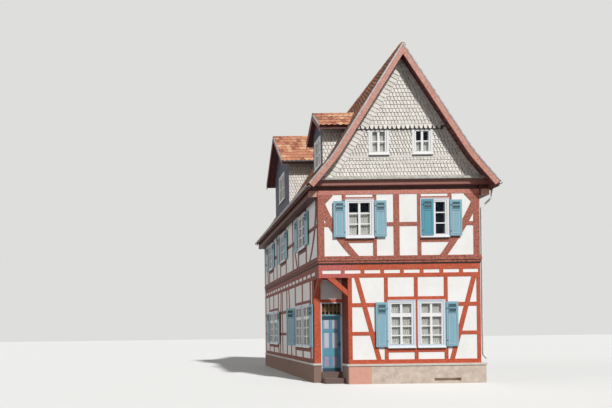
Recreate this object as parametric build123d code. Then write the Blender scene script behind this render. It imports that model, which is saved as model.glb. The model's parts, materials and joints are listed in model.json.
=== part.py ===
"""A two-storey half timbered house with its slate gable to the front.

X runs right along the front, Y runs into the depth and Z up, in millimetres. The origin is
at ground level, in the middle of the front, on the underside of the plinth.
"""

import os
from dataclasses import dataclass
from math import cos, radians, sin, tan

from build123d import *

# Plan
WIDTH = 6000
LENGTH = 10100
FRAME = 160
REAR_WALL = 200
INFILL = 120
INFILL_BACK = 12
SEAT = 0.3

# Heights of the courses, from the ground up
PLINTH = 670
COPING = 70
GROUND_SILL = 160
GROUND_STOREY = 3060
GROUND_PLATE = 150
JOIST_HEIGHT = 130
RIM = 240
DECK = 20
UPPER_SILL = 260
UPPER_STOREY = 2290
UPPER_PLATE = 150
ATTIC_FLOOR = 160
FRIEZE = 190
FLASHING = 80

# Stone base and floors
PLINTH_OUT = 50
PLINTH_RIGHT_OUT = 150
PLINTH_THICK = 300
COPING_OVERHANG = 25
COPING_INSET = 25
FLOOR_DROP = 10
FLOOR_THICK = 200
CELLAR_VENT = (1230, 2220)
CELLAR_VENT_Z = (90, 200)
CELLAR_VENT_DEPTH = 120

# Recessed doorway at the front's left corner
RECESS_DEPTH = 600
RECESS_WIDTH = 1080
CORNER_POST = 255
THRESHOLD_Z = 415
STEP_Z = 200
STEP_OUT = 330
DOORWAY_HEIGHT = 2670
DOOR_LEAF_OPENING = 2150
DOOR_TRANSOM = 50
DOOR_LINTEL = 120
DOOR_LINING = 35
DOOR_REBATE = 12
DOOR_THICK = 45
DOOR_GAP = 6
DOOR_STILE = 100
DOOR_MUNTIN = 90
DOOR_PANELS = ((150, 595), (880, 1510), (1625, 2015))
PANEL_BEVEL = 30
HINGE_RADIUS = 8
HINGE_LENGTH = 90
HINGE_INSET = 250
HANDLE_LEVEL = 1054
HANDLE_PLATE = (35, 200, 6)
HANDLE_OUT = 50
LEVER = 18
LEVER_LENGTH = 115
BRACKET = 130
BRACKET_FOOT = 210
BRACKET_HEAD = 280
BRACKET_DROP = 470
BRACKET_REACH = 780
BRACKET_BACK = 10

# Timbers
POST = 140
UPPER_CORNER_POST = 230
MIDDLE_POST = 220
GROUND_CORNER_POST = 140
CHEEK_POST = 150
SILL_RAIL = 190
UPPER_HEAD_RAIL = 105
GROUND_HEAD_RAIL = 160
JOIST = 140
JOIST_PITCH = 732
FIRST_JOIST = 900
SIDE_JOIST_PITCH = 580
FIRST_SIDE_JOIST = 370
SILL_OUT = 50
SILL_STEPS = (SILL_OUT / 2, SILL_OUT, SILL_OUT / 3)
DECK_BACK = 40
ATTIC_BACK = 80
UPPER_RAIL = (1100, 1245)
GROUND_RAILS = ((905, 1040), (1965, 2110))

# Windows: their width, the sill above the storey's first timber and the head below its plate
UPPER_WINDOW = 1000
UPPER_WINDOW_SILL = 685
UPPER_WINDOW_HEAD = 205
GROUND_WINDOW = 970
GROUND_WINDOW_SILL = 455
GROUND_WINDOW_HEAD = 885
GABLE_WINDOW = (690, 955)
GABLE_WINDOW_SILL = 850
WINDOW_BORDER = 110
WINDOW_DEPTH = 85
CASING = 35
CASING_OUT = 18
SILL_BOARD = 45
SILL_BOARD_OUT = 60
GLASS = 6
GLASS_BACK = 35
BAR = 40
TRANSOM = 140

# Glazing bars by their place as a share of the light's height, and their own height
GROUND_BARS = ((0.215, BAR), (0.445, BAR), (0.72, TRANSOM))
UPPER_BARS = ((1 / 3, BAR), (2 / 3, BAR))
ATTIC_BARS = ((1 / 2, BAR),)

# Middles of windows on the front, from the house's middle; a side's from its front or rear end
UPPER_FRONT_MIDDLES = (-1460, 1330)
MIDDLE_POST_PLACE = -85
GROUND_FRONT_MIDDLE = 606
GABLE_MIDDLES = (-760, 849)
FRONT_SIDE_WINDOW = 2125
FRONT_SIDE_PAIR = 2190
SECOND_SIDE_WINDOW = 5445
REAR_SIDE_WINDOW = 1695
REAR_SIDE_PAIR = 2180
RIGHT_SIDE_PAIR = 5000

# Single posts by the number of the pier between windows, and their share of its length
LEFT_UPPER_POSTS = ((1, 0.41), (2, 0.5))
LEFT_GROUND_POSTS = ((1, 0.46), (1, 0.75))
RIGHT_UPPER_POSTS = ((1, 0.3), (1, 0.7))
RIGHT_GROUND_POSTS = ((0, 0.5), (1, 0.5))

# Shutters
SHUTTER_WIDTH = 440
SHUTTER_THICK = 35
SHUTTER_OFF_WALL = 30
SHUTTER_GAP = 8
SHUTTER_SHORT = 50
SHUTTER_LIFT = 15
SHUTTER_STILE = 70
LOUVRES = 4
LOUVRE_SHARE = 0.2
LOUVRE_TILT = 35
LOUVRE_FILL = 0.8
SWUNG_SHUTTER_ANGLE = 40
STRAP = (20, 55)
STRAP_HEIGHT = 45
STRAP_PLACES = (0.12, 0.82)

# Roof section: straight slopes with a flatter flare at the eaves
MAIN_PITCH = 57.34
FLARE_PITCH = 49.6
FLARE_IN = 480
EAVE_OUT = 440
EAVE_RISE = 130
ROOF_THICK = 110
ROOF_CURVE = 5000
VERGE_OUT = 430
BARGE = 200
BARGE_THICK = 35
RIDGE_RADIUS = 115
RIDGE_TILE = 400
RIDGE_LAP = 45
RIDGE_FLARE = 14
GUTTER_RADIUS = 65
GUTTER_SHEET = 8
EAVES_BEAM = 335
EAVES_BEAM_DROP = 240
BEAM_END = (280, 60, 220)
DOWNPIPE_RADIUS = 35
DOWNPIPE_OFF = 20
DOWNPIPE_PLACE = 60
DOWNPIPE_BEND = 90
DOWNPIPE_CRANK = 380
DOWNPIPE_SHOE = (130, 150)

GABLE_OUT = 100
GABLE_WALL = 220
BAND_OUT = 40
FRIEZE_OUT = 100
FLASHING_OUT = 190

# Dormers on the left slope
DORMER_WALL = 110
DORMER_ROOF = 90
DORMER_BARGE = (150, 30)

HALF = WIDTH / 2
FRAME_END = LENGTH - REAR_WALL
RECESS_RIGHT = -HALF + RECESS_WIDTH
DOORWAY = (-HALF + CORNER_POST, RECESS_RIGHT)
FLOOR_TOP = THRESHOLD_Z - FLOOR_DROP
DOOR_WALL_BACK = RECESS_DEPTH + FRAME
PLINTH_INSET = PLINTH_THICK - PLINTH_OUT
THRESHOLD_FRONT = RECESS_DEPTH - 2 * PLINTH_OUT

COPING_Z = PLINTH
GROUND_SILL_Z = COPING_Z + COPING
GROUND_FIELD_Z = GROUND_SILL_Z + GROUND_SILL
GROUND_PLATE_Z = GROUND_FIELD_Z + GROUND_STOREY
JOIST_Z = GROUND_PLATE_Z + GROUND_PLATE
RIM_Z = JOIST_Z + JOIST_HEIGHT
DECK_Z = RIM_Z + RIM
UPPER_SILL_Z = DECK_Z + DECK
UPPER_FIELD_Z = UPPER_SILL_Z + UPPER_SILL
UPPER_PLATE_Z = UPPER_FIELD_Z + UPPER_STOREY
ATTIC_FLOOR_Z = UPPER_PLATE_Z + UPPER_PLATE
FRIEZE_Z = ATTIC_FLOOR_Z + ATTIC_FLOOR
FLASHING_Z = FRIEZE_Z + FRIEZE
GABLE_Z = FLASHING_Z + FLASHING
GABLE_WINDOW_Z = GABLE_Z + GABLE_WINDOW_SILL
GABLE_BAND_Z = GABLE_WINDOW_Z + GABLE_WINDOW[1] + CASING
EAVES_BEAM_Z = ATTIC_FLOOR_Z - EAVES_BEAM_DROP
DOOR_TRANSOM_Z = THRESHOLD_Z + DOOR_LEAF_OPENING
DOOR_LINTEL_Z = THRESHOLD_Z + DOORWAY_HEIGHT

ROOF_EAVE = (HALF + EAVE_OUT, ATTIC_FLOOR_Z + EAVE_RISE)
ROOF_BREAK = (HALF - FLARE_IN, ROOF_EAVE[1] + (EAVE_OUT + FLARE_IN) * tan(radians(FLARE_PITCH)))
ROOF_APEX_Z = ROOF_BREAK[1] + ROOF_BREAK[0] * tan(radians(MAIN_PITCH))


@dataclass
class Dormer:
    """A gabled dormer: places from the front, the left wall's face, the attic floor and the apex."""

    middle_y: float
    wall_in: float
    wall_half: float
    verge_out: float
    eaves_out: float
    ridge_drop: float
    rise: float
    window: tuple
    window_sill: float

    @property
    def wall_x(self):
        """The face of its front."""
        return -HALF + self.wall_in

    @property
    def verge_x(self):
        """The edge of its roof, in front of its face."""
        return self.wall_x - self.verge_out

    @property
    def roof_half(self):
        """Half its roof's width."""
        return self.wall_half + self.eaves_out

    @property
    def ridge_z(self):
        """The level of its ridge."""
        return ROOF_APEX_Z - self.ridge_drop

    def section(self, half, drop):
        """Its gable outline down to the attic floor, this wide and this far below its ridge."""
        ridge = self.ridge_z - drop
        low, high = self.middle_y - half, self.middle_y + half
        eave = ridge - half * self.rise
        left = ((low, ATTIC_FLOOR_Z), (low, eave))
        return outline(*left, (self.middle_y, ridge), (high, eave), (high, ATTIC_FLOOR_Z))

    def upright(self, thickness):
        """A thickness of its roof measured upright."""
        return thickness * (1 + self.rise**2) ** 0.5

    def window_levels(self):
        """The sill and head of its window."""
        return ATTIC_FLOOR_Z + self.window_sill, ATTIC_FLOOR_Z + self.window_sill + self.window[1]


SMALL_DORMER = Dormer(1130, 400, 530, 180, 310, 1770, 0.965, (700, 1115), 1250)
LARGE_DORMER = Dormer(6300, 200, 1410, 400, 365, 365, 1.062, (1060, 1320), 1475)
DORMERS = (SMALL_DORMER, LARGE_DORMER)


def box(x, y, z):
    """A block between the low and high value given for each axis."""
    middle = ((x[0] + x[1]) / 2, (y[0] + y[1]) / 2, (z[0] + z[1]) / 2)
    return Pos(*middle) * Box(x[1] - x[0], y[1] - y[0], z[1] - z[0])


def bar(u, z):
    """A rectangle drawn on a wall, between two places along it and two levels."""
    return Pos((u[0] + u[1]) / 2, (z[0] + z[1]) / 2) * Rectangle(u[1] - u[0], z[1] - z[0])


def outline(*points):
    """A face with straight sides through the points."""
    return make_face(Polyline(*points, close=True))


def brace(top, foot, levels, width, bow=0):
    """A slanted timber whose left edge runs from top to foot, bent sideways by bow."""
    low, high = levels
    middle = ((top + foot) / 2 + bow, (low + high) / 2)
    if bow == 0:
        return outline((top, high), (foot, low), (foot + width, low), (top + width, high))
    left = ThreePointArc((top, high), middle, (foot, low))
    right = ThreePointArc((foot + width, low), (middle[0] + width, middle[1]), (top + width, high))
    base = Line((foot, low), (foot + width, low))
    head = Line((top + width, high), (top, high))
    return make_face(left + base + right + head)


class Wall:
    """A wall's outer face, drawn on with the distance along it and the level."""

    def __init__(self, origin, along, inward):
        self.plane = Plane(origin=origin, x_dir=along, z_dir=Vector(*along).cross(Vector(0, 0, 1)))
        self.inward = Vector(*inward)

    def solid(self, face, depth, setback=0):
        """The drawing made solid, from setback behind the wall's face."""
        placed = Pos(*(self.inward * setback)) * (self.plane * face)
        return extrude(placed, amount=depth, dir=self.inward)


FRONT = Wall((0, 0, 0), (1, 0, 0), (0, 1, 0))
LEFT = Wall((-HALF, 0, 0), (0, 1, 0), (1, 0, 0))
RIGHT = Wall((HALF, 0, 0), (0, 1, 0), (-1, 0, 0))
DOOR_WALL = Wall((0, RECESS_DEPTH, 0), (1, 0, 0), (0, 1, 0))


def span_about(middle, width):
    """The two sides of an opening or timber."""
    return middle - width / 2, middle + width / 2


def pair_spans(middle, width):
    """The two openings of a pair of windows that share a post."""
    shift = (width + POST) / 2
    return span_about(middle - shift, width), span_about(middle + shift, width)


@dataclass
class Field:
    """The timbers and openings of one wall in one storey."""

    span: tuple
    levels: tuple
    openings: list
    window_levels: tuple
    posts: list
    rails: list
    braces: list
    head_rail: float
    short_posts: tuple = ()

    def window_posts(self):
        """Posts beside each opening; the short ones stand on a brace."""
        sill = self.window_levels[0] - SILL_RAIL
        sides = set()
        for low, high in self.openings:
            sides.add((low - POST, low))
            sides.add((high, high + POST))
        short = [bar(u, (sill, self.levels[1])) for u in self.short_posts]
        return [bar(u, self.levels) for u in sorted(sides - set(self.short_posts))] + short

    def drawings(self):
        """Posts, rails, braces and infill as flat drawings that only meet at edges."""
        whole = bar(self.span, self.levels)
        posts = Sketch() + [bar(u, self.levels) for u in self.posts] + self.window_posts()
        holes = Sketch() + [bar(u, self.window_levels) for u in self.openings]
        braces = (whole & (Sketch() + self.braces)) - posts - holes
        sill, head = self.window_levels
        under = [bar(u, (sill - SILL_RAIL, sill)) for u in self.openings]
        over = [bar(u, (head, head + self.head_rail)) for u in self.openings]
        rails = Sketch() + [bar(u, z) for u, z in self.rails] + under + over
        rails = rails - posts - holes - braces
        return posts, rails, braces, whole - posts - holes - rails - braces


UPPER_LEVELS = (UPPER_FIELD_Z, UPPER_PLATE_Z)
UPPER_WINDOW_LEVELS = (UPPER_FIELD_Z + UPPER_WINDOW_SILL, UPPER_PLATE_Z - UPPER_WINDOW_HEAD)
GROUND_LEVELS = (GROUND_FIELD_Z, GROUND_PLATE_Z)
GROUND_WINDOW_LEVELS = (GROUND_FIELD_Z + GROUND_WINDOW_SILL, GROUND_PLATE_Z - GROUND_WINDOW_HEAD)
GABLE_WINDOW_LEVELS = (GABLE_WINDOW_Z, GABLE_WINDOW_Z + GABLE_WINDOW[1])
UPPER_RAIL_LEVELS = tuple(UPPER_FIELD_Z + z for z in UPPER_RAIL)
GROUND_RAIL_LEVELS = [tuple(GROUND_FIELD_Z + z for z in rail) for rail in GROUND_RAILS]

UPPER_FRONT_WINDOWS = [span_about(u, UPPER_WINDOW) for u in UPPER_FRONT_MIDDLES]
GROUND_FRONT_WINDOWS = list(pair_spans(GROUND_FRONT_MIDDLE, GROUND_WINDOW))
GABLE_WINDOWS = [span_about(u, GABLE_WINDOW[0]) for u in GABLE_MIDDLES]
UPPER_SIDE_MIDDLES = {
    "left": (FRONT_SIDE_WINDOW, SECOND_SIDE_WINDOW, FRAME_END - REAR_SIDE_WINDOW),
    "right": (FRONT_SIDE_WINDOW, FRAME_END - REAR_SIDE_PAIR),
}
GROUND_SIDE_MIDDLES = {
    "left": (FRONT_SIDE_PAIR, FRAME_END - REAR_SIDE_PAIR),
    "right": (RIGHT_SIDE_PAIR,),
}
UPPER_SIDE_WINDOWS = {
    side: [span_about(u, UPPER_WINDOW) for u in middles] for side, middles in UPPER_SIDE_MIDDLES.items()
}
GROUND_SIDE_WINDOWS = {
    side: [span for u in middles for span in pair_spans(u, GROUND_WINDOW)]
    for side, middles in GROUND_SIDE_MIDDLES.items()
}
SIDES = {"left": LEFT, "right": RIGHT}

# Braces by their left edge at the top and foot, their width and bow, from the corner they lean on
KNEE = ((0, 0), (340, 0), (310, 60), (80, 300), (0, 350))
KNEE_HEIGHT = 300
LEFT_LONG_BRACE = (-50, 1200, 310, -120)
RIGHT_LONG_BRACE = (-300, -1490, 285, 70)
LEFT_GROUND_BRACE = (92, 896, 175, 0)
RIGHT_GROUND_BRACE = (-325, -1155, 180, 0)
SIDE_CORNER_BRACE = (-40, 850, 180, -250)
SIDE_POST_BRACE = (-250, -750, 140, 0)
SIDE_END_BRACE = (-200, -950, 140, -100)
GROUND_SIDE_BRACES = ((-470, -870, 140, 0), (180, 460, 140, 0))


def leaning(place, levels, brace_size):
    """A brace of the given size beside a corner or post."""
    top, foot, width, bow = brace_size
    return brace(place + top, place + foot, levels, width, bow)


def free_spans(span, openings):
    """The stretches of a wall between its windows and their posts."""
    starts = [span[0]] + [high + POST for low, high in openings]
    ends = [low - POST for low, high in openings] + [span[1]]
    return [(low, high) for low, high in zip(starts, ends) if high > low]


def pier_places(span, openings, shares):
    """Where posts stand in the piers between windows, or between them and the wall's ends."""
    piers = [(low, high) for low, high in free_spans(span, openings) if high - low > POST]
    return [piers[index][0] + (piers[index][1] - piers[index][0]) * share for index, share in shares]


def upper_front():
    """The upper storey's front: corner knees, long bowed braces and a wide middle post."""
    corner = HALF - UPPER_CORNER_POST
    span = (-corner, corner)
    middle = span_about(MIDDLE_POST_PLACE, MIDDLE_POST)
    top = UPPER_PLATE_Z
    knees = [outline(*[(side * (corner - u), top - z) for u, z in KNEE]) for side in (-1, 1)]
    long_levels = (UPPER_FIELD_Z, top - KNEE_HEIGHT)
    braces = [
        leaning(-HALF, long_levels, LEFT_LONG_BRACE),
        leaning(HALF, long_levels, RIGHT_LONG_BRACE),
        *knees,
    ]
    windows = UPPER_FRONT_WINDOWS
    rails = [(u, UPPER_RAIL_LEVELS) for u in free_spans(span, windows)]
    short = ((windows[0][0] - POST, windows[0][0]), (windows[1][1], windows[1][1] + POST))
    frame = (windows, UPPER_WINDOW_LEVELS, [middle], rails, braces)
    return Field(span, UPPER_LEVELS, *frame, UPPER_HEAD_RAIL, short)


def ground_front():
    """The ground storey's front, right of the recess: a window pair between two braces."""
    span = (RECESS_RIGHT + CHEEK_POST, HALF - GROUND_CORNER_POST)
    braces = [
        leaning(span[0], GROUND_LEVELS, LEFT_GROUND_BRACE),
        leaning(HALF, GROUND_LEVELS, RIGHT_GROUND_BRACE),
    ]
    left, right = GROUND_FRONT_WINDOWS
    beside = [(span[0], left[0] - POST), (right[1] + POST, span[1])]
    rails = [(u, level) for u in beside for level in GROUND_RAIL_LEVELS]
    frame = (GROUND_FRONT_WINDOWS, GROUND_WINDOW_LEVELS, [], rails, braces)
    return Field(span, GROUND_LEVELS, *frame, GROUND_HEAD_RAIL)


def upper_side(side, shares):
    """The upper storey's long side: windows, posts between and slanted braces."""
    span = (FRAME, FRAME_END)
    windows = UPPER_SIDE_WINDOWS[side]
    places = pier_places(span, windows, shares)
    posts = [span_about(place, POST) for place in places] + [(FRAME_END - POST, FRAME_END)]
    low_levels = (UPPER_FIELD_Z, UPPER_RAIL_LEVELS[0])
    braces = [
        leaning(FRAME, UPPER_LEVELS, SIDE_CORNER_BRACE),
        leaning(places[0], low_levels, SIDE_POST_BRACE),
        leaning(FRAME_END, UPPER_LEVELS, SIDE_END_BRACE),
    ]
    rails = [(u, UPPER_RAIL_LEVELS) for u in free_spans(span, windows)]
    frame = (windows, UPPER_WINDOW_LEVELS, posts, rails, braces)
    return Field(span, UPPER_LEVELS, *frame, UPPER_HEAD_RAIL)


def ground_side(side, start, shares):
    """The ground storey's long side from the given place: window pairs, posts and braces."""
    span = (start, FRAME_END)
    windows = GROUND_SIDE_WINDOWS[side]
    places = pier_places(span, windows, shares)
    posts = [span_about(place, POST) for place in places] + [(FRAME_END - POST, FRAME_END)]
    braces = [
        leaning(place, GROUND_LEVELS, size) for place, size in zip(places, GROUND_SIDE_BRACES)
    ]
    rails = [(u, level) for u in free_spans(span, windows) for level in GROUND_RAIL_LEVELS]
    frame = (windows, GROUND_WINDOW_LEVELS, posts, rails, braces)
    return Field(span, GROUND_LEVELS, *frame, GROUND_HEAD_RAIL)


def plan_ring(outer, width):
    """The walls' ring round the whole plan, outset by outer and this wide."""
    edge = bar((-HALF - outer, HALF + outer), (-outer, FRAME_END))
    inside = bar((-HALF - outer + width, HALF + outer - width), (width - outer, FRAME_END - FRAME))
    return edge - inside


def ground_plan(out, right_out, rear):
    """The ground storey's outline with its recessed corner, moved out from the wall faces."""
    return outline(
        (RECESS_RIGHT - out, -out),
        (HALF + right_out, -out),
        (HALF + right_out, rear),
        (-HALF - out, rear),
        (-HALF - out, RECESS_DEPTH - out),
        (RECESS_RIGHT - out, RECESS_DEPTH - out),
    )


def ground_ring(out, right_out, inset, levels):
    """A course round the ground storey, open at the doorway, inset behind the wall faces."""
    inside = ground_plan(-inset, -inset, FRAME_END - inset)
    course = layer(ground_plan(out, right_out, FRAME_END) - inside, levels)
    return course - box(DOORWAY, (THRESHOLD_FRONT, LENGTH / 2), levels)


def plinth():
    """The stone base with the cellar's vent slot in its front."""
    slot = box(CELLAR_VENT, (-PLINTH_OUT, CELLAR_VENT_DEPTH - PLINTH_OUT), CELLAR_VENT_Z)
    return ground_ring(PLINTH_OUT, PLINTH_RIGHT_OUT, PLINTH_INSET, (0, COPING_Z)) - slot


def layer(face, levels):
    """A plan drawing made solid between two levels."""
    return Pos(0, 0, levels[0]) * extrude(face, levels[1] - levels[0])


APEX = (0, ROOF_APEX_Z)


def section_points(drop):
    """Apex, break and eave of the right slope, lowered at right angles by drop."""
    main_rise, flare_rise = tan(radians(MAIN_PITCH)), tan(radians(FLARE_PITCH))
    main_z = ROOF_APEX_Z - drop / cos(radians(MAIN_PITCH))
    flare_z = ROOF_BREAK[1] + ROOF_BREAK[0] * flare_rise - drop / cos(radians(FLARE_PITCH))
    break_x = (main_z - flare_z) / (main_rise - flare_rise)
    eave_x = ROOF_EAVE[0]
    return (0, main_z), (break_x, main_z - break_x * main_rise), (eave_x, flare_z - eave_x * flare_rise)


def section_line(drop):
    """The right slope's section line, rounded at the break."""
    return FilletPolyline(*section_points(drop), radius=ROOF_CURVE)


def slope_band(top, bottom):
    """A strip of the right slope's section between two depths."""
    upper, lower = section_points(top), section_points(bottom)
    edges = section_line(top) + section_line(bottom)
    return make_face(edges + Line(upper[0], lower[0]) + Line(upper[-1], lower[-1]))


def under_roof(drop):
    """The section of everything below a depth under the roof's surface, both sides."""
    top, middle, eave = section_points(drop)
    right = make_face(
        section_line(drop) + Line(eave, (eave[0], 0)) + Line((eave[0], 0), (0, 0)) + Line((0, 0), top)
    )
    return right + mirror(right, Plane.YZ)


def mirrored(solid):
    """The same piece on the left side."""
    return mirror(solid, Plane.YZ)


def roof_slopes():
    """The tiled slopes; the left one is cut open inside each dormer."""
    right = FRONT.solid(slope_band(0, ROOF_THICK), LENGTH + VERGE_OUT, -VERGE_OUT)
    left = mirrored(right)
    for dormer in DORMERS:
        half = dormer.wall_half - DORMER_WALL
        section = dormer.section(half, dormer.upright(2 * DORMER_ROOF))
        left -= LEFT.solid(section, HALF - dormer.wall_in - DORMER_WALL, dormer.wall_in + DORMER_WALL)
    return left, right


def roof_solid(lift):
    """Everything below the main roof's surface raised by lift."""
    return Pos(0, 0, lift) * FRONT.solid(under_roof(0), LENGTH + 2 * VERGE_OUT, -2 * VERGE_OUT)


def dormer_walls(dormer, below):
    """A dormer's front and cheeks, standing on the roof, with its window opening."""
    drop = dormer.upright(DORMER_ROOF) + SEAT
    walls = LEFT.solid(dormer.section(dormer.wall_half, drop), HALF - dormer.wall_in, dormer.wall_in)
    inside = dormer.section(dormer.wall_half - DORMER_WALL, 0)
    walls -= LEFT.solid(inside, HALF, dormer.wall_in + DORMER_WALL)
    hole = bar(span_about(dormer.middle_y, dormer.window[0]), dormer.window_levels())
    return walls - below - LEFT.solid(hole, 2 * DORMER_WALL, dormer.wall_in - DORMER_WALL / 2)


def dormer_roof(dormer, below):
    """A dormer's two slopes in one, running back into the main roof."""
    under = dormer.section(2 * dormer.roof_half, dormer.upright(DORMER_ROOF))
    band = dormer.section(dormer.roof_half, 0) - under
    return LEFT.solid(band, -dormer.verge_x, HALF + dormer.verge_x) - below


def dormer_barge(dormer):
    """The boards along a dormer's front verge."""
    depth, thick = DORMER_BARGE
    under = dormer.section(2 * dormer.roof_half, dormer.upright(depth))
    band = dormer.section(dormer.roof_half, 0) - under
    return LEFT.solid(band, thick, HALF + dormer.verge_x - thick)


def window_frame(wall, u, z, rows):
    """A window's frame with casing, sill board and glazing bars, seated in its opening."""
    light_u = (u[0] + WINDOW_BORDER, u[1] - WINDOW_BORDER)
    light_z = (z[0] + WINDOW_BORDER, z[1] - WINDOW_BORDER)
    light = bar(light_u, light_z)
    frame = wall.solid(bar(u, z) - light, WINDOW_DEPTH)
    casing_u = (u[0] - CASING, u[1] + CASING)
    trim = bar(casing_u, (z[0] - CASING, z[1] + CASING))
    frame += wall.solid(trim - light, CASING_OUT, -CASING_OUT)
    sill = bar(casing_u, (z[0] - CASING, z[0] - CASING + SILL_BOARD))
    frame += wall.solid(sill, SILL_BOARD_OUT, -SILL_BOARD_OUT)
    middle = (u[0] + u[1]) / 2
    bars = bar((middle - BAR, middle + BAR), light_z)
    for share, height in rows:
        level = light_z[0] + (light_z[1] - light_z[0]) * share
        bars += bar(light_u, span_about(level, height))
    return frame + wall.solid(bars, GLASS_BACK)


def window_glass(wall, u, z):
    """The sheet of glass behind a window's bars."""
    light = bar(
        (u[0] + WINDOW_BORDER, u[1] - WINDOW_BORDER), (z[0] + WINDOW_BORDER, z[1] - WINDOW_BORDER)
    )
    return wall.solid(light, GLASS, GLASS_BACK)


def shutter_board(height):
    """A shutter lying flat: louvres over a sunk panel, face up, from its hinge edge."""
    middle = SHUTTER_WIDTH / 2
    inner = SHUTTER_WIDTH - 2 * SHUTTER_STILE
    sunk = SHUTTER_THICK / 3
    louvre_high = height * LOUVRE_SHARE
    louvre_low = height - SHUTTER_STILE - louvre_high
    panel_high = louvre_low - 2 * SHUTTER_STILE
    panel_middle = SHUTTER_STILE + panel_high / 2
    board = Pos(middle, height / 2, SHUTTER_THICK / 2) * Box(SHUTTER_WIDTH, height, SHUTTER_THICK)
    board -= Pos(middle, panel_middle, SHUTTER_THICK) * Box(inner, panel_high, 2 * sunk)
    field = Box(inner - SHUTTER_STILE, panel_high - SHUTTER_STILE, sunk)
    board += Pos(middle, panel_middle, SHUTTER_THICK - sunk) * field
    board -= Pos(middle, louvre_low + louvre_high / 2, SHUTTER_THICK) * Box(inner, louvre_high, 4 * sunk)
    pitch = louvre_high / LOUVRES
    slat = Rot(LOUVRE_TILT, 0, 0) * Box(inner, pitch * LOUVRE_FILL, sunk / 2)
    for index in range(LOUVRES):
        board += Pos(middle, louvre_low + pitch * (index + 0.5), SHUTTER_THICK - sunk) * slat
    return board


def shutter_plane(wall, hinge_u, z, side, swing=0):
    """Where a shutter's hinge edge stands; side is +1 when it lies towards larger u."""
    outward = wall.inward * -1
    along = Vector(*wall.plane.x_dir) * side
    turned = along * cos(radians(swing)) + outward * cos(radians(90 - swing))
    start = wall.plane.from_local_coords(Vector(hinge_u, z, 0))
    return start, turned


def shutter(wall, hinge_u, z, side, swing=0, closed=False):
    """A shutter beside its window with two hinge straps that reach the timber."""
    height = z[1] - z[0]
    start, turned = shutter_plane(wall, hinge_u, z[0], side, swing)
    outward = wall.inward * -1
    face = turned.cross(Vector(0, 0, 1))
    flat = shutter_board(height)
    away = CASING_OUT if closed else SHUTTER_OFF_WALL
    if face.dot(outward) < 0:
        flat = mirror(flat, Plane.YZ)
        turned, face = turned * -1, face * -1
    place = Plane(origin=start + outward * away, x_dir=turned, z_dir=face)
    leaf = place * flat
    if closed:
        return leaf
    near, far = STRAP
    reach = SHUTTER_OFF_WALL + far * sin(radians(swing))
    for share in STRAP_PLACES:
        level = z[0] + height * share
        strap = bar(sorted((hinge_u + side * near, hinge_u + side * far)), (level, level + STRAP_HEIGHT))
        leaf += wall.solid(strap, reach, -reach)
    return leaf


def shutter_pair(wall, left_u, right_u, window_levels, swing=0):
    """Both open shutters of a window or pair, from its outer edges."""
    z = (window_levels[0] + SHUTTER_LIFT, window_levels[1] - SHUTTER_SHORT)
    off = CASING + SHUTTER_GAP
    return [
        shutter(wall, left_u - off, z, -1),
        shutter(wall, right_u + off, z, 1, swing),
    ]


def storey(fields):
    """The posts, rails, braces and infill of a storey's three framed walls, wall by wall."""
    drawn = [(wall, field.drawings()) for wall, field in zip((FRONT, LEFT, RIGHT), fields)]
    timbers = [[wall.solid(parts[index], FRAME) for wall, parts in drawn] for index in range(3)]
    infill = [wall.solid(parts[3], INFILL, INFILL_BACK) for wall, parts in drawn]
    return *timbers, infill


def floor_joists():
    """Cross joists whose ends show on the sides, and short ones that show at the front."""
    joists = []
    y = FIRST_SIDE_JOIST
    while y < FRAME_END - FRAME:
        joists.append(box((-HALF, HALF), (y - JOIST / 2, y + JOIST / 2), (JOIST_Z, RIM_Z)))
        y += SIDE_JOIST_PITCH
    first = joists[0]
    for x in front_joists():
        first += box(x, (0, FIRST_SIDE_JOIST), (JOIST_Z, RIM_Z))
    joists[0] = first
    return joists


def front_joists():
    """Where each short joist shows at the front, the corners included."""
    places = [(-HALF, -HALF + JOIST), (HALF - JOIST / 2, HALF)]
    x = -HALF + FIRST_JOIST
    while x < HALF - JOIST:
        places.append((x - JOIST / 2, x + JOIST / 2))
        x += JOIST_PITCH
    return places


def joist_infill(joists):
    """Plaster between the joist ends, round three sides."""
    edge = bar((-HALF + INFILL_BACK, HALF - INFILL_BACK), (INFILL_BACK, FRAME_END))
    inner = bar((-HALF + INFILL, HALF - INFILL), (INFILL, FRAME_END))
    blocks = layer(edge - inner, (JOIST_Z, RIM_Z))
    for joist in joists:
        blocks -= joist
    return blocks


def gable_walls():
    """The front gable with its two windows and projecting upper courses, and the rear one."""
    shape = under_roof(ROOF_THICK + SEAT)
    whole = (-WIDTH, WIDTH)
    front = FRONT.solid(shape & bar(whole, (GABLE_Z, ROOF_APEX_Z)), GABLE_WALL, -GABLE_OUT)
    high = shape & bar(whole, (GABLE_BAND_Z, ROOF_APEX_Z))
    front += FRONT.solid(high, BAND_OUT, -GABLE_OUT - BAND_OUT)
    for u in GABLE_WINDOWS:
        front -= FRONT.solid(bar(u, GABLE_WINDOW_LEVELS), GABLE_WALL, -GABLE_OUT)
    rear = shape & bar((-HALF, HALF), (FRIEZE_Z, ROOF_APEX_Z))
    return front, FRONT.solid(rear, REAR_WALL, FRAME_END)


GABLE_FACE = Wall((0, -GABLE_OUT, 0), (1, 0, 0), (0, 1, 0))


def cornice():
    """The frieze board and the sheet-metal moulding at the foot of the front gable."""
    shape = under_roof(ROOF_THICK + SEAT)
    whole = (-WIDTH, WIDTH)
    frieze = FRONT.solid(shape & bar(whole, (FRIEZE_Z, FLASHING_Z)), FRIEZE_OUT, -FRIEZE_OUT)
    frieze += FRONT.solid(bar((-HALF, HALF), (FRIEZE_Z, FLASHING_Z)), FRAME)
    flashing = shape & bar(whole, (FLASHING_Z, GABLE_Z))
    return frieze, FRONT.solid(flashing, FLASHING_OUT + FRAME, -FLASHING_OUT)


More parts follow.
